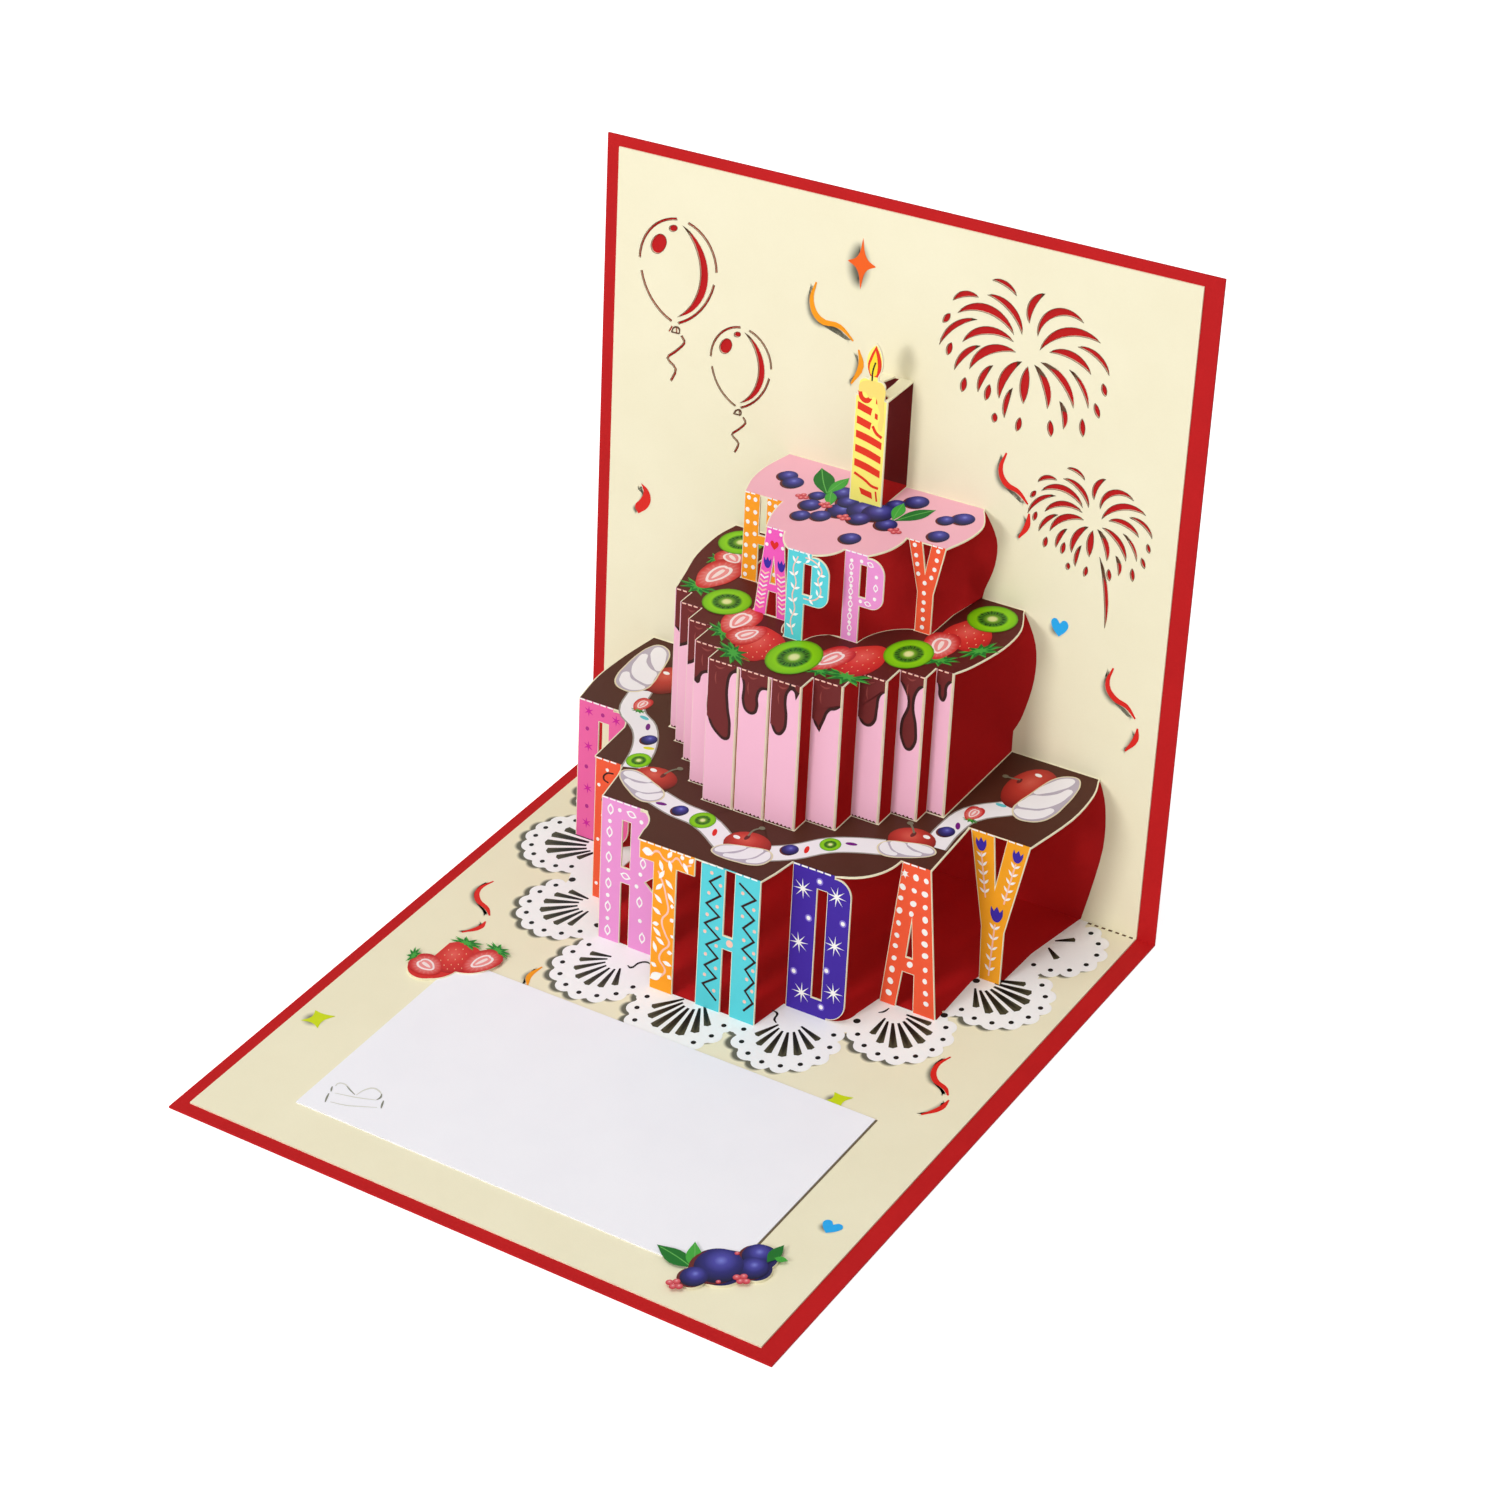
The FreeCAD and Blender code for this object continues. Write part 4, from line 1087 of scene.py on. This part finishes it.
# Whipped cream: a soft outline and three leaning lobes, set by centre, half sizes, turn and lean
creamForm = {
    "edge": ((-1, 0.1), (-0.92, -0.4), (-0.7, -0.75), (-0.3, -0.9), (0.1, -0.93), (0.5, -0.97),
             (0.8, -0.84), (1, -0.3),
             (0.97, 0.25), (0.8, 0.75), (0.5, 0.97), (0, 0.92), (-0.5, 0.74), (-0.85, 0.46)),
    "lobes": (
        ((-0.9, 0.06), (-0.82, -0.4), (-0.5, -0.72), (-0.1, -0.88), (0.03, -0.82), (-0.13, -0.38),
         (-0.4, -0.02),
         (-0.7, 0.2)),
        ((-0.56, 0.4), (-0.24, 0.07), (0.0, -0.38), (0.12, -0.8), (0.36, -0.88), (0.6, -0.86), (0.56, -0.34),
         (0.4, 0.18), (0.12, 0.52), (-0.24, 0.62)),
        ((0.26, 0.66), (0.5, 0.2), (0.66, -0.42), (0.76, -0.76), (0.92, -0.4), (0.92, 0.06), (0.78, 0.5),
         (0.54, 0.76)),
    ),
}


def drawCream(face, x, y, halfLong, halfWide, turn, side):
    angle = math.radians(turn)

    def lay(points, grow=0.0):
        loop = []
        for u, v in points:
            along = u * (halfLong + grow) * side
            across = v * (halfWide + grow)
            loop.append((x + along * math.cos(angle) - across * math.sin(angle),
                         y + along * math.sin(angle) + across * math.cos(angle)))
        return loop

    drawLoops("tier_1_top", "cutCream", face, [lay(creamForm["edge"], 0.12)], 5)
    drawLoops("tier_1_top", "creamLilac", face, [lay(creamForm["edge"], -0.22)], 6)
    for points in creamForm["lobes"]:
        drawLoops("tier_1_top", "creamWhite", face, [lay(points)], 7)


tier1Face = levelFace(card["tier1"])
ribbons = (
    [(-47.5, 20), (-44.8, 27.5), (-38.3, 32), (-34, 38), (-31.3, 46)],
    [(-20.5, 52.6), (-14, 54.2), (-7, 55), (2.5, 60)],
    [(11, 58.6), (16, 55), (21.2, 49.3), (26.5, 46.2), (31.5, 44.2)],
    [(40.6, 39), (40, 32), (41.2, 25), (47.5, 18.6)],
)
for line in ribbons:
    drawStroke("tier_1_top", "creamGrey", tier1Face, line, 5.7, 1)
    drawStroke("tier_1_top", "creamWhite", tier1Face, line, 5.0, 2)
cherries = (
    (-45, 14, 5.0, 5.6, (-46.6, 11.4), [(-43, 11), (-40.5, 9)]),
    (-25, 47.2, 5.4, 4.1, (-26.9, 44.7), [(-24, 44.8), (-23.3, 42.6), (-22.2, 41.4)]),
    (6.1, 57.6, 5.4, 4.3, (2.7, 56.5), [(4.6, 55), (4.5, 52.6), (5.6, 51.2)]),
    (35.3, 39.2, 5.3, 4.3, (37.4, 36.7), [(34.4, 36.8), (33.2, 35.4), (31.8, 34.1)]),
    (47.2, 10.8, 5.3, 8.0, (46.4, 5.4), [(43.8, 8.7), (42.2, 9), (40.4, 9.1)]),
)
for values in cherries:
    drawCherry(tier1Face, *values)
creams = (
    (-52.4, 12.1, 9.9, 4.7, 78, 1),
    (-26.1, 51, 7.2, 3.2, 24, 1),
    (7, 61.2, 6.6, 3.1, -13, 1),
    (36.2, 42.8, 6.2, 2.9, -21, -1),
    (52.7, 11.9, 9.7, 4.6, -83, -1),
)
for values in creams:
    drawCream(tier1Face, *values)
for x, d, size in ((-31.9, 43.2, 2.8), (-7, 55, 2.9), (21.3, 49, 2.3)):
    drawKiwi("tier_1_top", tier1Face, x, d, size, size, 4)
for x, d in ((-34.5, 35.5), (-13.2, 54.4), (15, 54.8), (40, 33)):
    drawBerry("tier_1_top", tier1Face, x, d, 1.85, 3)
for x, d in ((-44, 24.6), (41.5, 24.4)):
    drawCrown("tier_1_top", tier1Face, x + 0.6, d + 2.4, 1.7, 0, 0.5, 3)
    drawSlice("tier_1_top", tier1Face, x, d, 2.2, 2.7, 180, 4)
sprinkles = (
    ("sprinkleCyan", -40.5, 28.8, 10), ("sprinkleCyan", 45, 18.9, 0), ("sprinklePurple", -37.7, 31.4, 60),
    ("sprinklePurple", -18.2, 54.3, -10), ("sprinklePurple", 25, 46.6, -15), ("sprinklePurple", 41, 30, 60),
    ("sprinkleYellow", -32.7, 38.2, -15), ("streamerRed", -2.3, 57.4, 65), ("streamerRed", 18, 53, 70))
for inkName, x, d, turn in sprinkles:
    drawRound("tier_1_top", inkName, tier1Face, x, d, 1.3, 0.52, turn, 3)
print("lower tier printed")

tier2Face = levelFace(card["tier2"])
crowns = (
    (-32.8, 14.4, 2.8, 70), (-29.6, 26, 4.4, 5), (-14.6, 38.6, 4.2, 20), (-8, 44.4, 4.8, 25),
    (11.6, 41.4, 3.2, -10),
    (17.8, 40.4, 5.0, -10), (36.8, 18.4, 4.4, -60), (31.2, 25.6, 3.8, -30))
for x, d, size, turn in crowns:
    drawCrown("tier_2_top", tier2Face, x, d, size, turn, 0.55)
wholes = ((-5, 38.6, 5.8, 7.0, -38), (16.8, 33.6, 5.6, 6.8, 18), (31.4, 14.4, 5.8, 6.4, -10))
for values in wholes:
    drawWhole("tier_2_top", tier2Face, *values)
slices = (
    (-29.6, 12.4, 3.9, 4.2, 120), (-28.6, 19.6, 4.8, 6.6, 185), (-13.8, 33.2, 4.4, 5.6, 180),
    (-9.4, 37, 3.8, 4.6, 30),
    (11.2, 36.4, 3.7, 5.8, 200), (28.6, 20.8, 4.2, 5.4, 165))
for values in slices:
    drawSlice("tier_2_top", tier2Face, *values, level=4)
for x, d, radiusX, radiusY in ((-31.6, 6, 5.2, 5.0), (-20.5, 28.2, 5.5, 5.2), (4.2, 39.7, 5.9, 6.8),
                               (24.5, 26.9, 5.2, 5.7),
                               (32.8, 6.5, 5.5, 5.2)):
    drawKiwi("tier_2_top", tier2Face, x, d, radiusX, radiusY, 7)
print("middle tier printed")

tier3Face = levelFace(card["tier3"])
leaves = (
    ("leafDark", (-14.3, 2.1), (-6.8, 11.6), 4.6), ("leafLight", (-6.7, 2.9), (-7.4, 11), 3.0),
    ("leafLight", (-7, 9.6), (-4, 15), 2.6), ("leafLight", (9.2, 6.4), (10.9, 13.8), 2.9),
    ("leafDark", (16.7, 5.6), (11.2, 13.8), 3.8))
berries = (
    (-18.8, 8.5, 2.2), (-16.3, 10.4, 2.4), (8.2, 7.8, 2.1), (11.5, 4.7, 2.6), (20.8, 8.3, 1.9),
    (23.8, 6.0, 2.4),
    (22.8, 14.6, 2.3), (7.1, 24.3, 2.3), (-4.5, 9.2, 2.7), (-1.4, 11.8, 2.4), (-8.6, 12.6, 1.8),
    (3, 13.2, 3.4),
    (6.6, 12.6, 3.6), (4.4, 16.6, 2.5), (-0.7, 15.4, 3.1), (10.7, 15.9, 2.4), (-7.8, 16.6, 2.4),
    (-3.4, 19.4, 2.2),
    (-7.2, 21.3, 2.1))
for x, d, radius in berries:
    drawBerry("tier_3_top", tier3Face, x, d, radius)
for inkName, root, tip, width in leaves:
    drawLeaf("tier_3_top", inkName, tier3Face, root, tip, width, 3, "leafVein")
for x, d in ((-11.4, 14.4), (1.2, 17.6), (13.6, 17.2), (-5.0, 15.1)):
    drawCurrant("tier_3_top", tier3Face, x, d, 1.3, 5)
print("upper tier printed")


# Lace edging on the floor, kept to the sheet and off its cut-out

floorFace = levelFace(0)


def makeFloorField():
    field = sheetFaces(floorFace, lambda x, d, h: d > 0)
    field.transform(layMatrix(floorFace, 0, 0).inverted())
    thicken(field, (0, 0, ink["thick"]))
    return field


def asObject(name, shape):
    mesh = bpy.data.meshes.new(name)
    shape.to_mesh(mesh)
    holder = bpy.data.objects.new(name, mesh)
    bpy.context.scene.collection.objects.link(holder)
    return holder


floorField = asObject("floorField", makeFloorField())


def drawClipped(group, inkName, loop, level):
    shape = outlineShape([loop], 4)
    bmesh.ops.scale(shape, verts=shape.verts, vec=(1, 1, 30))
    bmesh.ops.translate(shape, verts=shape.verts, vec=(0, 0, -0.4))
    cutter = asObject("cutter", shape)
    trim = floorField.modifiers.new("trim", "BOOLEAN")
    trim.operation = "INTERSECT"
    trim.solver = "EXACT"
    trim.object = cutter
    trimmed = floorField.evaluated_get(bpy.context.evaluated_depsgraph_get())
    result = bmesh.new()
    result.from_mesh(trimmed.to_mesh())
    stamp(group, inkName, result, layMatrix(floorFace, 0, 0, ink["step"] * level))
    result.free()
    shape.free()
    floorField.modifiers.clear()
    bpy.data.objects.remove(cutter)


# centre x and d, radius of the ring of holes, first hole and step in degrees, number of holes,
# root of the fan, the way it faces, number of slots and their step in degrees
shells = {
    "left0": (-58, 11, 8.4, 80, 28, 7, -54, 11, 180, 2, 70),
    "left1": (-57, 32.5, 9.0, 53, 23.5, 9, -48.4, 29.3, 158, 7, 13),
    "left2": (-43, 52.8, 9.3, 12, 25.6, 9, -38.0, 48, 140, 7, 14.5),
    "left3": (-23.3, 66.8, 9.5, 13, 25.2, 9, -21.6, 61.8, 116, 7, 16.5),
    "middle": (0.4, 71.5, 10, -8, 24.5, 9, 0.4, 63.6, 89, 7, 13),
    "right3": (24, 66.5, 9.7, -33.5, 24.8, 9, 21.4, 61, 66, 7, 15.5),
    "right2": (43.5, 52.5, 9.3, -35, 25.1, 8, 38.2, 47.5, 44, 7, 14),
    "right1": (55.5, 32, 9.5, -52, 24.5, 8, 47.6, 29.4, 20, 7, 12.5),
    "right0": (58, 11, 8.4, -66, 28, 7, 54, 11, 0, 2, 70),
}
scallop = {"bump": 2.35, "hole": 0.58, "plain": 1.1, "solid": 2.9, "shadeX": -0.9, "shadeD": 0.75,
           "soft": 0.65}
drawClipped("doily", "laceWhite", [
    (-59, 0.1, 0), (-59.5, 20, 0), (-49.5, 43.5, 0), (-35, 59.5, 0), (-12, 71, 0), (13, 71, 0), (35.5, 58, 0),
    (50.5, 43, 0), (59.5, 20, 0), (59, 0.1, 0)], 1.0)


# The rim bulges in a round bump about each hole.
def rimRadius(ring, first, step, count, angle):
    nearest = min(max(round((angle - first) / step), 0), count - 1)
    away = math.radians(angle - first - nearest * step)
    across = ring * math.sin(away)
    if abs(away) > 1.2 or abs(across) >= scallop["bump"]:
        return ring + scallop["plain"]
    return ring * math.cos(away) + math.sqrt(scallop["bump"] ** 2 - across ** 2)


# Rows of points from the faint outer edge of a shadow to its dark inside
def drawShadeBand(group, face, rows, strengths, level):
    shape = bmesh.new()
    shade = shape.verts.layers.float.new("shade")
    knots = [[shape.verts.new((x, y, ink["thick"])) for x, y in row] for row in rows]
    for row, strength in zip(knots, strengths):
        for vert in row:
            vert[shade] = strength
    for upperRow, lowerRow in zip(knots, knots[1:]):
        for index in range(len(upperRow) - 1):
            shape.faces.new((upperRow[index], upperRow[index + 1], lowerRow[index + 1], lowerRow[index]))
    bmesh.ops.recalc_face_normals(shape, faces=shape.faces)
    stampShadow(group, face, shape, level)


for index, shell in enumerate(shells.values()):
    cx, cd, ring, first, step, count, fanX, fanD, facing, slots, slotStep = shell
    loop = []
    for angle in range(-90, 270, 3):
        radius = rimRadius(ring, first, step, count, angle)
        loop.append((cx + radius * math.cos(math.radians(angle)),
                     cd + radius * math.sin(math.radians(angle)), 0))
    drawClipped("doily", "laceWhite", loop, 1.1 + index * 0.05)
    for hole in range(count):
        angle = math.radians(first + hole * step)
        drawRound("doily", "black", floorFace, cx + ring * math.cos(angle), cd + ring * math.sin(angle),
                  scallop["hole"], level=3)
    for slot in range(slots):
        angle = math.radians(facing + (slot - (slots - 1) / 2) * slotStep)
        away = Vector((math.cos(angle), math.sin(angle)))
        back = Vector((fanX - cx, fanD - cd))
        along = back.dot(away)
        solid = scallop["solid"] + (1.2 if slots == 2 else 0)
        reach = -along + math.sqrt(max(along * along - back.length_squared + (ring - solid) ** 2, 0))
        broad = max(reach, 10.5)
        drawShape("doily", "laceSlot", floorFace, laceSlot, fanX, fanD, reach, math.degrees(angle), 3, broad)
    rows = []
    for grow in (scallop["soft"], -scallop["soft"] * 0.55, -2.2):
        row = []
        for angle in range(int(first) - 6, int(first + (count - 1) * step) + 7, 3):
            radius = rimRadius(ring, first, step, count, angle) + grow
            x = cx + scallop["shadeX"] + radius * math.cos(math.radians(angle))
            y = cd + scallop["shadeD"] + radius * math.sin(math.radians(angle))
            row.append((x, max(y, 0.35)))
        rows.append(row)
    drawShadeBand("doily", floorFace, rows, (0.0, 0.95, 1.0), index * 0.05)
bpy.data.objects.remove(floorField)
drawDots("doily", "black", floorFace, ((48.5, 30.2), (33.8, 54.7), (-33.5, 54.7), (-48.5, 43.7),
                                       (48.7, 43.8)), 0.8, 3)
for line in ([(-19.4, 63.3), (-18.4, 63.6), (-17.8, 61.4), (-16.6, 60.3), (-15.2, 60.5)],
             [(16.2, 60.6), (17.8, 61), (18.4, 63), (19.4, 63.8)], [(37.4, 47.6), (37.0, 49.2), (36.2, 50)]):
    drawStroke("doily", "black", floorFace, line, 0.5, 4, 0.5)
print("lace printed")


# Streamers, stars and hearts, each with its printed soft shadow

def drawStreamer(group, inkName, face, points, width, shift, level=1):
    shade = strokeLoop([(p[0] + shift[0], p[1] + shift[1]) for p in points], width * 2.1, 0.5)
    drawShadow(group, face, shade, width * 0.98, 0.75)
    drawStroke(group, inkName, face, points, width, level, 0.3)


def drawConfetti(group, inkName, face, loop, x, y, size, sizeY, shift):
    round_ = [(x + shift[0] + size * 1.05 * math.cos(a * math.tau / 10),
               y + shift[1] + sizeY * 1.05 * math.sin(a * math.tau / 10))
              for a in range(10)]
    drawShadow(group, face, round_, min(size, sizeY) * 0.9)
    drawShape(group, inkName, face, loop, x, y, size, 0, 2, sizeY)


starFour = outlineShape([[(0, 1, 0), (0.28, 0.3), (1, 0, 0), (0.28, -0.3), (0, -1, 0), (-0.28, -0.3),
                          (-1, 0, 0), (-0.28, 0.3)]])
wallFace = uprightFace(0)
floorShift = (-0.6, 0.45)
wallShift = (-0.75, -0.55)
for inkName, points in (
        ("streamerRed", [(-63.6, 53), (-64.6, 57), (-62.4, 60.4), (-58.6, 62), (-56.5, 63.8)]),
        ("streamerRed", [(-56, 66), (-55.7, 68.2), (-58.2, 71.8)]),
        ("streamerRed", [(57, 55), (56, 59), (58, 63), (61.4, 64.4), (63, 66)]),
        ("streamerRed", [(63.9, 67.2), (63.8, 70.2), (61.4, 74)]),
        ("streamerOrange", [(-35.3, 73), (-35.8, 77), (-34.2, 79.8)])):
    drawStreamer("floor_print", inkName, floorFace, points, 1.2, floorShift)
drawConfetti("floor_print", "starGreen", floorFace, softStar, -66.4, 112, 2.9, 2.7, floorShift)
drawConfetti("floor_print", "starGreen", floorFace, softStar, 44.2, 78.6, 2.5, 2.2, floorShift)
drawConfetti("floor_print", "heartBlue", floorFace, heartDown, 64, 112.2, 2.2, 1.9, floorShift)
for inkName, points, width in (
        ("streamerOrange", [(-19.5, 128.5), (-20.4, 124), (-18.2, 120.5), (-13, 120), (-9.5, 117.6)], 1.3),
        ("streamerOrange", [(-8, 116), (-7.2, 112.6), (-9.4, 108)], 1.3),
        ("streamerRed", [(29.5, 102), (28.4, 98), (30, 95.2), (33, 94.2), (35.5, 92)], 1.25),
        ("streamerRed", [(36, 90), (35.8, 87.2), (34, 84)], 1.25),
        ("streamerRed", [(59, 61), (58, 56.8), (60, 54.2), (63, 53.2), (65.2, 51)], 1.25),
        ("streamerRed", [(66, 49), (65.8, 46.4), (63.6, 43)], 1.25)):
    drawStreamer("wall_print", inkName, wallFace, points, width, wallShift)
drawConfetti("wall_print", "starOrange", wallFace, starFour, -8.5, 135, 3.5, 5.6, wallShift)
drawConfetti("wall_print", "heartBlue", wallFace, heart, 45.5, 66.5, 2.1, 2.1, wallShift)
curl = [(-62.9, 71.3, 0), (-60.9, 70), (-60.2, 67.9), (-61, 65.8), (-63.4, 63.8, 0), (-64.4, 65.4),
        (-63, 67.4), (-62.2, 69.2)]
drawShadow("wall_print", wallFace, moved(curl, wallShift[0] - 0.2, wallShift[1] - 0.1), 0.9)
drawLoops("wall_print", "streamerRed", wallFace, [curl], 2)
# Balloon knots, then dashes along the crease, in the brown of burnt cut edges with painted shade.
for knot in ([(-38.8, 93.9), (-38.3, 94.8), (-37.2, 95), (-37.1, 94)],
             [(-56.2, 108.8), (-55.4, 110.1), (-54.2, 110), (-54.1, 108.9)]):
    drawStroke("wall_print", "burntEdge", wallFace, knot, 0.34, 2)
    drawStroke("wall_print", "burntEdge", wallFace, [knot[0], knot[-1]], 0.3, 3)
for x0, x1 in ((58.6, 70.4), (-70.4, -59.6)):
    drawDashes("floor_print", "burntEdge", floorFace, x0, x1, 0.4, 0.5, 0.9, 0.8)
# Painted shadow: the thin dark line the note card's right edge casts on the floor.
drawBox("floor_print", "noteEdge", floorFace, 54.32, 54.75, 80, 126.5)
print("wall and floor printed")


# Note card and the fruit flaps that hold it

noteFace = levelFace((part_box("note_card")[1].z / mm - card["sheetTop"]) / wallUp.z)
noteCuts = (
    ("noteFaint", 0.35, [(-48.3, 128), (-48.4, 127), (-47.4, 126.5), (-46, 126.8), (-44.6, 127.5),
                         (-43, 128.1)]),
    ("noteFaint", 0.4, [(-42.7, 128), (-42.2, 125.8), (-41, 124.5), (-39.4, 124.6), (-38.1, 125.3)]),
    ("noteFaint", 0.3, [(-47, 129.8), (-42, 128.6), (-38, 127.2)]),
    ("noteFaint", 0.3, [(-46, 132.5), (-42.6, 131.8), (-39.8, 130.6), (-36.4, 129)]),
    ("noteCut", 0.28, [(-46.2, 126.8), (-44.6, 127.5), (-43, 128.1)]),
    ("noteCut", 0.38, [(-48.8, 128.4), (-48.5, 129), (-48, 129.8)]),
    ("noteCut", 0.42, [(-48, 130.5), (-47.5, 131.8), (-46.9, 133.1)]),
    ("noteCut", 0.4, [(-38.3, 125.1), (-37.8, 126.1), (-38, 127.1)]),
    ("noteCut", 0.42, [(-36.6, 126.6), (-36.1, 127.7), (-35.5, 128.8)]),
)
for inkName, width, line in noteCuts:
    drawStroke("note", inkName, noteFace, line, width, 1, 0.5)
flapFace = levelFace((card["flapTop"] - card["sheetTop"]) / wallUp.z)
colourField("flaps", "flapRed", flapFace, ((-65, 70), (-40, 95)), 0.02)
colourField("flaps", "flapIndigo", flapFace, ((40, 118), (66, 145)), 0.02)
for x, d, size, turn in ((-54.2, 75.2, 3.6, -10), (-46.6, 73.9, 3.4, 10), (-61.6, 84.6, 2.8, 60)):
    drawCrown("flaps", flapFace, x, d, size, turn, 0.5)
drawWhole("flaps", flapFace, -53.2, 80.6, 4.6, 5.6, -35, 3)
drawSlice("flaps", flapFace, -47.2, 79, 3.7, 4.8, 200, 5)
drawSlice("flaps", flapFace, -57, 86, 3.6, 4.2, 105, 5)
drawLeaf("flaps", "leafDark", flapFace, (47.6, 136.4), (37.8, 134.4), 4.0, 2, "leafVein")
drawLeaf("flaps", "leafLight", flapFace, (47.8, 136.6), (43.8, 129.9), 3.2, 3, "leafVein")
for x, d, radius in ((56.6, 127, 3.2), (57.8, 130.6, 3.1), (51.7, 133.4, 4.9), (49.3, 138.4, 2.8)):
    drawBerry("flaps", flapFace, x, d, radius, 4)
drawLeaf("flaps", "leafDark", flapFace, (59.2, 127.8), (59.4, 121.9), 2.6, 6)
drawLeaf("flaps", "leafLight", flapFace, (59.8, 126), (62.6, 125.4), 1.6, 6)
for x, d in ((47.2, 142), (57.6, 134.2)):
    drawCurrant("flaps", flapFace, x, d, 1.5, 6)
for x, d in ((52.8, 128.6), (54.2, 137.2)):
    drawRound("flaps", "currant", flapFace, x, d, 0.5, level=6)
print("note and flaps printed")


# Finished pieces

for (group, inkName), drawn in pieces.items():
    mesh = bpy.data.meshes.new(group + "_" + inkName)
    drawn.to_mesh(mesh)
    drawn.free()
    piece = bpy.data.objects.new(group + "_" + inkName, mesh)
    bpy.context.scene.collection.objects.link(piece)
    mesh.materials.append(finishes[inkName])
    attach(piece, body)
print(len(pieces), "printed pieces")


# Camera, light and floor

view = {
    "at": (0.36362, -0.488237, 0.47199),
    "turnDegrees": (56.002, 2.749, 33.627),
    "lens": 86.137,
    "sensor": 36.0,
}
cameraData = bpy.data.cameras.new("camera")
cameraData.lens = view["lens"]
cameraData.sensor_width = view["sensor"]
camera = bpy.data.objects.new("camera", cameraData)
camera.location = view["at"]
camera.rotation_euler = [math.radians(a) for a in view["turnDegrees"]]
bpy.context.scene.collection.objects.link(camera)
bpy.context.scene.camera = camera

lamps = {
    "key": {"at": (-0.25, -1.15, 0.66), "size": 0.3, "power": 7.0},
    "top": {"at": (-0.15, -0.25, 1.4), "size": 0.9, "power": 6.8},
    "fill": {"at": (1.0, -0.8, 0.7), "size": 1.2, "power": 1.2},
}
aim = Vector((0, 0.01, 0.05))
for name, lamp in lamps.items():
    light = bpy.data.lights.new(name, "AREA")
    light.energy = lamp["power"]
    light.size = lamp["size"]
    holder = bpy.data.objects.new(name, light)
    holder.location = lamp["at"]
    holder.rotation_euler = (aim - Vector(lamp["at"])).to_track_quat("-Z", "Y").to_euler()
    bpy.context.scene.collection.objects.link(holder)


def makeWorld():
    world = bpy.data.worlds.new("studio")
    bpy.context.scene.world = world
    world.use_nodes = True
    tree = world.node_tree
    sky = tree.nodes["Background"]
    sky.inputs["Color"].default_value = (1, 1, 1, 1)
    path = tree.nodes.new("ShaderNodeLightPath")
    seen = mathNode(tree, "MAXIMUM")
    seenToo = mathNode(tree, "MAXIMUM")
    strength = tree.nodes.new("ShaderNodeMapRange")
    strength.inputs["To Min"].default_value = 0.37
    strength.inputs["To Max"].default_value = 1.0
    tree.links.new(path.outputs["Is Camera Ray"], seen.inputs[0])
    tree.links.new(path.outputs["Is Glossy Ray"], seen.inputs[1])
    tree.links.new(seen.outputs[0], seenToo.inputs[0])
    tree.links.new(path.outputs["Is Transmission Ray"], seenToo.inputs[1])
    tree.links.new(seenToo.outputs[0], strength.inputs["Value"])
    tree.links.new(strength.outputs["Result"], sky.inputs["Strength"])


def makeFloor():
    shape = bmesh.new()
    bmesh.ops.create_grid(shape, x_segments=1, y_segments=1, size=4.0)
    mesh = bpy.data.meshes.new("studio_floor")
    shape.to_mesh(mesh)
    shape.free()
    floor = bpy.data.objects.new("studio_floor", mesh)
    floor.location = (0, 0, -0.0002)
    bpy.context.scene.collection.objects.link(floor)
    material = grainMaterial("studioFloor", "#FFFFFF", "#FBFBFB", rough=0.9, bump=0.0, fibre=30.0, blotch=2.0)
    shader = material.node_tree.nodes["Principled BSDF"]
    path = material.node_tree.nodes.new("ShaderNodeLightPath")
    glow = mathNode(material.node_tree, "MULTIPLY", 0.7)
    material.node_tree.links.new(path.outputs["Is Camera Ray"], glow.inputs[0])
    material.node_tree.links.new(glow.outputs[0], shader.inputs["Emission Strength"])
    shader.inputs["Emission Color"].default_value = (1, 1, 1, 1)
    mesh.materials.append(material)


makeWorld()
makeFloor()
bpy.context.scene.view_settings.view_transform = "Standard"

print("camera, light and floor ready")
